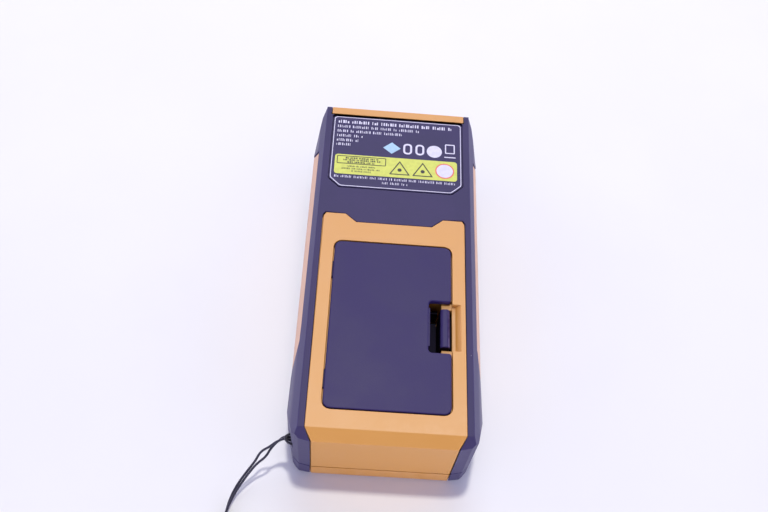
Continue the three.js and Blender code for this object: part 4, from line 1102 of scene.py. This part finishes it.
# %% Specks of dust
specks, specks_in, specks_out = new_group(
    "dust_specks", [("Vector", VECTOR, None), ("Scale", FLOAT, 500.0)], [("Mask", FLOAT, None)]
)
speck_cells = node(
    specks, "ShaderNodeTexVoronoi", {"Vector": specks_in.outputs[0], "Scale": specks_in.outputs[1]}
)
speck_size = node(
    specks,
    "ShaderNodeMapRange",
    {"Value": speck_cells.outputs["Distance"], "From Min": 0.09, "From Max": 0.05},
)
speck_pick = both(specks, speck_cells.outputs["Color"], 0.9, "GREATER_THAN")
specks.links.new(both(specks, speck_size.outputs[0], speck_pick), specks_out.inputs[0])
print("groups:", [group.name for group in bpy.data.node_groups])

# %% [markdown]
# ## Finishes
#
# Most of the meter is moulded plastic or rubber, so one helper builds that finish from the four
# effects: a base colour that drifts, grain in the normal, paler edges that are partly rubbed wear
# and partly painted highlight, dust, and a roughness that follows the drift. Each piece's own
# colour, grain and gloss are its arguments.
# Metal, glass and ink share the smaller helpers for the drift and the grain.

# %% Moulded finish
def mix_colour(tree, amount, below, above):
    return node(tree, "ShaderNodeMix", {0: amount, 6: below, 7: above}, data_type="RGBA").outputs[2]


def opaque(colour):
    return (*colour, 1.0)


def new_material(name):
    material = bpy.data.materials.new(name)
    material.use_nodes = True
    tree = material.node_tree
    shader = tree.nodes["Principled BSDF"]
    place = node(tree, "ShaderNodeTexCoord").outputs["Object"]
    return material, tree, shader, place


def grouped(tree, group, links):
    return node(tree, "ShaderNodeGroup", links, node_tree=group).outputs


def drifting(tree, place, scale, light, dark):
    """Gives a colour that drifts between light and dark, and how far it has drifted."""
    return grouped(tree, drift, {0: place, 1: scale, 2: opaque(light), 3: opaque(dark)})


def add_roughness(tree, shader, amount, lowest, highest):
    steps = node(tree, "ShaderNodeMapRange", {"Value": amount, "To Min": lowest, "To Max": highest})
    tree.links.new(steps.outputs[0], shader.inputs["Roughness"])


def add_grain(tree, shader, place, scale, depth):
    textured = grouped(tree, grain, {0: place, 1: scale, 2: depth})
    tree.links.new(textured[0], shader.inputs["Normal"])


DUST_COLOUR = (0.75, 0.72, 0.8)
DRIFT_SCALE, DUST_SCALE = 70.0, 700.0


def moulded(
    name, light, dark, rough, grain_scale=2600.0, depth=0.00002, worn_highlit_to=None, worn_highlit_amount=0.5,
    dust=0.25, specular=0.5, sheen=0.0,
):
    material, tree, shader, place = new_material(name)
    colour, amount = drifting(tree, place, DRIFT_SCALE, light, dark)
    # the paler edge colour is partly rubbed wear and partly a painted highlight
    if worn_highlit_to:
        edge = grouped(tree, worn_highlit, {0: place, 1: worn_highlit_amount})[0]
        colour = mix_colour(tree, edge, colour, opaque(worn_highlit_to))
    dusty = both(tree, grouped(tree, specks, {0: place, 1: DUST_SCALE})[0], dust)
    tree.links.new(mix_colour(tree, dusty, colour, opaque(DUST_COLOUR)), shader.inputs["Base Color"])
    add_grain(tree, shader, place, grain_scale, depth)
    add_roughness(tree, shader, amount, rough - 0.02, rough + 0.03)
    shader.inputs["Specular IOR Level"].default_value = specular
    shader.inputs["Sheen Weight"].default_value = sheen
    return material


# the paler edge colours given below are partly rubbed wear and partly a painted highlight
orange_plastic = moulded(
    "orange_plastic", (0.58, 0.262, 0.033), (0.568, 0.254, 0.031), 0.5, 3200.0, 0.00001,
    worn_highlit_to=(0.7, 0.4, 0.16), worn_highlit_amount=0.3, dust=0.05, specular=1.0,
)
orange_rubber = moulded(
    "orange_rubber", (0.61, 0.40, 0.26), (0.58, 0.37, 0.23), 0.65, 2600.0, 0.000015,
    worn_highlit_to=(0.85, 0.62, 0.45), worn_highlit_amount=0.3, dust=0.15, specular=0.35,
)
black_rubber = moulded(
    "black_rubber", (0.039, 0.029, 0.088), (0.033, 0.025, 0.08), 0.56, 2400.0, 0.00003,
    worn_highlit_to=(0.12, 0.1, 0.2), worn_highlit_amount=0.6, dust=0.3, specular=0.25, sheen=0.12,
)
black_plastic = moulded(
    "black_plastic", (0.021, 0.011, 0.08), (0.019, 0.01, 0.074), 0.5, 2000.0, 0.00003,
    worn_highlit_to=(0.13, 0.11, 0.22), worn_highlit_amount=0.5, dust=0.3, specular=0.31,
)
# painted shade: a near-black finish for the inner faces of the latch's pocket, where little light gets in
painted_pocket_shade = moulded("painted_pocket_shade", (0.008, 0.006, 0.02), (0.005, 0.004, 0.014), 0.7, 2000.0, specular=0.1)
panel_plastic = moulded(
    "panel_plastic", (0.022, 0.019, 0.03), (0.016, 0.014, 0.024), 0.4, 3000.0, 0.00001,
    worn_highlit_to=(0.1, 0.09, 0.13), dust=0.2,
)
key_rubber = moulded(
    "key_rubber", (0.075, 0.072, 0.082), (0.06, 0.058, 0.068), 0.65, 2600.0, 0.00002, dust=0.2
)
key_orange = moulded(
    "key_orange_rubber", (0.72, 0.3, 0.06), (0.66, 0.26, 0.05), 0.6, 2600.0, 0.00002, dust=0.1
)
grey_silicone = moulded("grey_silicone", (0.3, 0.3, 0.31), (0.26, 0.26, 0.27), 0.7)
black_foam = moulded("black_foam", (0.02, 0.02, 0.022), (0.012, 0.012, 0.014), 0.9, 1500.0, 0.0001)
film_dark = moulded(
    "film_dark", (0.033, 0.024, 0.085), (0.027, 0.02, 0.072), 0.45, 900.0, 0.000004, dust=0.2, specular=0.3
)
print("moulded finishes:", len(bpy.data.materials))

# %% Metal, board, glass and ink
def metal(name, light, dark, rough, brushed=900.0):
    material, tree, shader, place = new_material(name)
    # the marks are drawn out along Y, as brushing leaves them
    brushing = node(tree, "ShaderNodeMapping", {"Vector": place, "Scale": (1.0, 0.08, 1.0)}).outputs[0]
    colour, amount = drifting(tree, brushing, brushed, light, dark)
    tree.links.new(colour, shader.inputs["Base Color"])
    add_roughness(tree, shader, amount, rough, rough + 0.12)
    add_grain(tree, shader, brushing, brushed, 0.000004)
    shader.inputs["Metallic"].default_value = 1.0
    return material


steel = metal("bright_steel", (0.62, 0.62, 0.65), (0.5, 0.5, 0.53), 0.22)
brass = metal("turned_brass", (0.72, 0.5, 0.2), (0.6, 0.4, 0.15), 0.25)
cast_metal = metal("cast_zinc", (0.42, 0.43, 0.46), (0.33, 0.34, 0.37), 0.5, 300.0)


def glass(name, tint, rough=0.04):
    material, tree, shader, place = new_material(name)
    colour, smudge = drifting(tree, place, 90.0, tint, [0.93 * value for value in tint])
    tree.links.new(colour, shader.inputs["Base Color"])
    add_roughness(tree, shader, smudge, rough, rough + 0.05)
    shader.inputs["Transmission Weight"].default_value = 1.0
    shader.inputs["IOR"].default_value = 1.49
    return material


clear_glass = glass("clear_window", (0.92, 0.95, 0.96))
red_glass = glass("red_filter", (0.62, 0.06, 0.07), 0.02)


def printed_ink(name, colour, rough=0.45):
    material, tree, shader, place = new_material(name)
    inked = drifting(tree, place, 900.0, colour, [0.9 * value for value in colour])[0]
    tree.links.new(inked, shader.inputs["Base Color"])
    add_grain(tree, shader, place, 3000.0, 0.000004)
    shader.inputs["Roughness"].default_value = rough
    return material


ink_materials = {
    "white": printed_ink("ink_white", (0.66, 0.64, 0.74)),
    "yellow": printed_ink("ink_yellow", (0.6, 0.64, 0.1)),
    "black": printed_ink("ink_black", (0.02, 0.018, 0.012)),
    "blue": printed_ink("ink_blue", (0.36, 0.56, 0.7)),
    "red": printed_ink("ink_red", (0.72, 0.16, 0.1)),
}
print("materials:", len(bpy.data.materials))

# %% [markdown]
# ## Board, cells, display and cord
#
# These finishes have a pattern of their own. The board's tracks are a grid under green lacquer.
# A cell's sleeve changes from black to copper along its length. The display is a pale green-grey
# glass with a dark border. The cord's weave reads the map that runs along and round its curve,
# and its grooves are painted darker, as shade.

# %% Pattern helpers
def separate(tree, vector):
    return node(tree, "ShaderNodeSeparateXYZ", {0: vector}).outputs


def step_mask(tree, value, edge, width=0.00005, above=True):
    """Goes from 0 to 1 where value passes edge, or from 1 to 0 when above is false."""
    first, last = (edge - width, edge + width) if above else (edge + width, edge - width)
    limits = {"Value": value, "From Min": first, "From Max": last}
    return node(tree, "ShaderNodeMapRange", limits).outputs[0]


# %% Circuit board
board_green, tree, shader, place = new_material("board_lacquer")
tracks = node(
    tree,
    "ShaderNodeTexBrick",
    {"Vector": place, "Scale": 160.0, "Mortar Size": 0.03, "Brick Width": 0.6, "Row Height": 0.2},
)
lacquer = drifting(tree, place, 90.0, (0.02, 0.13, 0.06), (0.012, 0.09, 0.045))[0]
tracked = mix_colour(tree, tracks.outputs["Fac"], lacquer, (0.06, 0.26, 0.1, 1))
tree.links.new(tracked, shader.inputs["Base Color"])
add_grain(tree, shader, place, 1200.0, 0.00001)
shader.inputs["Roughness"].default_value = 0.35

# %% Cell sleeve
# distances from the button's face, in millimetres: where the sleeve starts, where its copper
# band ends and where the sleeve ends
SLEEVE_START, COPPER_END, SLEEVE_END = 2.15, 13, 42.5


def sleeve(name, button_y, towards):
    material, tree, shader, place = new_material(name)
    _, y, _ = separate(tree, place)
    from_button = node(
        tree,
        "ShaderNodeMath",
        {0: y, 1: -towards, 2: towards * button_y * MM},
        operation="MULTIPLY_ADD",
    ).outputs[0]
    ends = both(
        tree,
        step_mask(tree, from_button, SLEEVE_START * MM, above=False),
        step_mask(tree, from_button, SLEEVE_END * MM),
        "MAXIMUM",
    )
    copper = step_mask(tree, from_button, COPPER_END * MM, above=False)
    sleeve_dark = drifting(tree, place, 300.0, (0.03, 0.03, 0.035), (0.02, 0.02, 0.024))[0]
    printed = mix_colour(tree, copper, sleeve_dark, (0.62, 0.3, 0.13, 1))
    tree.links.new(mix_colour(tree, ends, printed, (0.6, 0.6, 0.62, 1)), shader.inputs["Base Color"])
    tree.links.new(both(tree, ends, copper, "MAXIMUM"), shader.inputs["Metallic"])
    add_grain(tree, shader, place, 1800.0, 0.000005)
    shader.inputs["Roughness"].default_value = 0.28
    return material


sleeves = [
    sleeve("sleeve_left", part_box("battery_1")[1].y / MM, 1),
    sleeve("sleeve_right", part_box("battery_2")[0].y / MM, -1),
]

# %% Display
DARK_SIDE, DARK_END = 2 * MM, 2.2 * MM
lcd_material, tree, shader, place = new_material("display_cell")
x, y, _ = separate(tree, place)
lcd_low, lcd_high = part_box("lcd_module")
half_x = (lcd_high.x - lcd_low.x) / 2
middle_y, half_y = (lcd_low.y + lcd_high.y) / 2, (lcd_high.y - lcd_low.y) / 2
sideways = node(tree, "ShaderNodeMath", {0: x}, operation="ABSOLUTE").outputs[0]
from_middle = both(tree, y, middle_y, "SUBTRACT")
lengthways = node(tree, "ShaderNodeMath", {0: from_middle}, operation="ABSOLUTE").outputs[0]
border_mask = both(
    tree,
    step_mask(tree, sideways, half_x - DARK_SIDE),
    step_mask(tree, lengthways, half_y - DARK_END),
    "MAXIMUM",
)
pale = drifting(tree, place, 60.0, (0.33, 0.37, 0.33), (0.29, 0.33, 0.29))[0]
bordered = mix_colour(tree, border_mask, pale, (0.015, 0.015, 0.018, 1))
tree.links.new(bordered, shader.inputs["Base Color"])
add_grain(tree, shader, place, 4000.0, 0.000003)
shader.inputs["Roughness"].default_value = 0.2

# %% Woven cord
def woven(name, light, dark, along, around, depth, rough=0.75):
    material, tree, shader, place = new_material(name)
    chart = node(tree, "ShaderNodeUVMap", uv_map="UVMap").outputs[0]
    u, v, _ = separate(tree, chart)
    lengthwise, roundwise = both(tree, u, along), both(tree, v, around)
    # strands that wind to the right and strands that wind to the left cross in a weave
    right_lay, left_lay = (
        node(tree, "ShaderNodeMath", {0: both(tree, lengthwise, roundwise, way)}, operation="SINE").outputs[0]
        for way in ("ADD", "SUBTRACT")
    )
    fibre = node(tree, "ShaderNodeTexNoise", {"Vector": place, "Scale": 9000.0, "Detail": 3.0}).outputs[0]
    raised = both(tree, both(tree, fibre, 0.5), both(tree, right_lay, left_lay), "ADD")
    # the colour follows the fibre noise, the fibre's own tone, and the weave's height, a painted shade
    # darkest in the grooves
    shade = node(tree, "ShaderNodeMapRange", {"Value": raised, "From Min": -0.8, "From Max": 1.2}).outputs[0]
    tree.links.new(mix_colour(tree, shade, opaque(dark), opaque(light)), shader.inputs["Base Color"])
    bump = node(tree, "ShaderNodeBump", {"Height": raised, "Distance": depth, "Strength": 1.0})
    tree.links.new(bump.outputs[0], shader.inputs["Normal"])
    shader.inputs["Roughness"].default_value = rough
    shader.inputs["Sheen Weight"].default_value = 0.3
    return material


AROUND = 2 * math.pi
string_material = woven(
    "twisted_string", (0.014, 0.011, 0.03), (0.007, 0.006, 0.016), 380.0, 2 * AROUND, 0.00004
)
cord_material = woven(
    "woven_cord", (0.03, 0.028, 0.04), (0.01, 0.01, 0.014), 1900.0, 6 * AROUND, 0.0001
)

# %% [markdown]
# ## Putting the finishes on
#
# New pieces take their material directly. The door and the latch have a second one, a painted
# shade, for the faces inside the latch's pocket. The solids that stay, such as the boards, the
# screws and the parts of the optics, get one through their object's material slots.

# %% Dress every piece
def dress(pieces, material):
    for item in pieces:
        item.data.materials.clear()
        item.data.materials.append(material)


dress([rear_case, front_case, latch_ledges], orange_plastic)
dress(side_strips, orange_rubber)
dress([rear_overmould, *front_overmoulds], black_rubber)
dress([battery_cover, latch_pad], black_plastic)
dress([gap_shade_sheet], painted_pocket_shade)
# what lies deeper than this under the back face is inside the pocket or under the door, and gets the painted
# shade
POCKET_DEPTH = 2.2
pocket_top = (door_high.z - POCKET_DEPTH) * MM
for item in (battery_cover, latch_pad):
    item.data.materials.append(painted_pocket_shade)
    for face in item.data.polygons:
        face.material_index = int(face.center.z < pocket_top)
dress([label_film], film_dark)
dress([front_panel, nose_plate, strap_end, cord_tie], panel_plastic)
dress([piece for node_name, piece in key_pieces.items() if node_name != "key_measure"], key_rubber)
dress([key_pieces["key_measure"]], key_orange)
dress([display_glass, laser_glass], clear_glass)
dress([receiver_glass], red_glass)
dress([*strings, string_hitch], string_material)
dress([wrist_cord], cord_material)
dress(springs, steel)
for item, material in zip(cells, sleeves):
    dress([item], material)
for colour, item in ink_pieces.items():
    dress([item], ink_materials[colour])

kept_solids = {
    "lcd_module": lcd_material,
    "key_mat": grey_silicone,
    "main_board": board_green,
    "sensor_board": board_green,
    "buzzer": panel_plastic,
    "shield_can": steel,
    "optics_chassis": cast_metal,
    "laser_barrel": brass,
    "laser_diode": brass,
    "photodiode": steel,
    "collimator_lens": clear_glass,
    "strap_pin": steel,
    "door_pad": black_foam,
    "contact_bridge": steel,
    "contact_positive": steel,
    "contact_negative": steel,
}
kept_solids.update({f"case_screw_{number}": steel for number in range(1, 5)})
kept_solids.update({f"board_screw_{number}": steel for number in range(1, 3)})
for name, material in kept_solids.items():
    for slot in bpy.data.objects[name].material_slots:
        slot.material = material
print("solids that stay:", len(kept_solids))

# %% [markdown]
# ## Table and light
#
# The table is plain and nearly white. A small lamp overhead, a little beyond the far end, gives
# the short crisp shadow in front of the rear end face. A broad lamp further back and the room,
# bright low round the table and dark overhead, fill the rest. The Standard view transform keeps
# the table and the orange as bright as they are lit.

# %% Table
TABLE_HALF = 1.5
table_mesh = bmesh.new()
bmesh.ops.create_grid(table_mesh, x_segments=1, y_segments=1, size=TABLE_HALF)
table_data = bpy.data.meshes.new("table_top")
table_mesh.to_mesh(table_data)
table_mesh.free()
table_top = bpy.data.objects.new("table_top", table_data)
bpy.context.scene.collection.objects.link(table_top)
table_paint, tree, shader, place = new_material("table_paint")
painted = drifting(tree, place, 14.0, (0.8, 0.797, 0.765), (0.785, 0.782, 0.752))[0]
tree.links.new(painted, shader.inputs["Base Color"])
shader.inputs["Roughness"].default_value = 0.55
table_data.materials.append(table_paint)

# %% Room, bright low round the table and dark overhead
ROOM_COLOUR = (0.68, 0.668, 1.0)
ROOM_STRENGTH, ROOM_FALL = 4.7, 2.0
world = bpy.data.worlds.new("soft_room")
world.use_nodes = True
room = world.node_tree
backdrop = room.nodes["Background"]
backdrop.inputs["Color"].default_value = opaque(ROOM_COLOUR)
direction = node(room, "ShaderNodeTexCoord")
height = node(room, "ShaderNodeSeparateXYZ", {0: direction.outputs["Generated"]}).outputs["Z"]
lowness = node(room, "ShaderNodeMath", {0: 1.0, 1: height}, operation="SUBTRACT", use_clamp=True)
falling = both(room, lowness.outputs[0], ROOM_FALL, "POWER")
room.links.new(both(room, falling, ROOM_STRENGTH), backdrop.inputs["Strength"])
bpy.context.scene.world = world


# %% Lamps
def soft_light(name, place, size, power, colour):
    """Hangs a round lamp at place, which shines on the middle of the table."""
    data = bpy.data.lights.new(name, "AREA")
    data.shape = "DISK"
    data.size = size
    data.energy = power
    data.color = colour
    lamp = bpy.data.objects.new(name, data)
    lamp.location = place
    downward = Vector((0, 0, 0)) - Vector(place)
    lamp.rotation_euler = downward.to_track_quat("-Z", "Y").to_euler()
    bpy.context.scene.collection.objects.link(lamp)


soft_light("ceiling_light", (0, 0.12, 0.95), size=0.07, power=4.57, colour=(1, 0.978, 0.928))
soft_light("window_light", (0, 0.5, 0.8), size=0.5, power=2.17, colour=(0.9, 0.912, 1))
bpy.context.scene.view_settings.view_transform = "Standard"

# %% [markdown]
# ## End

# %% Finish
print("scene built")
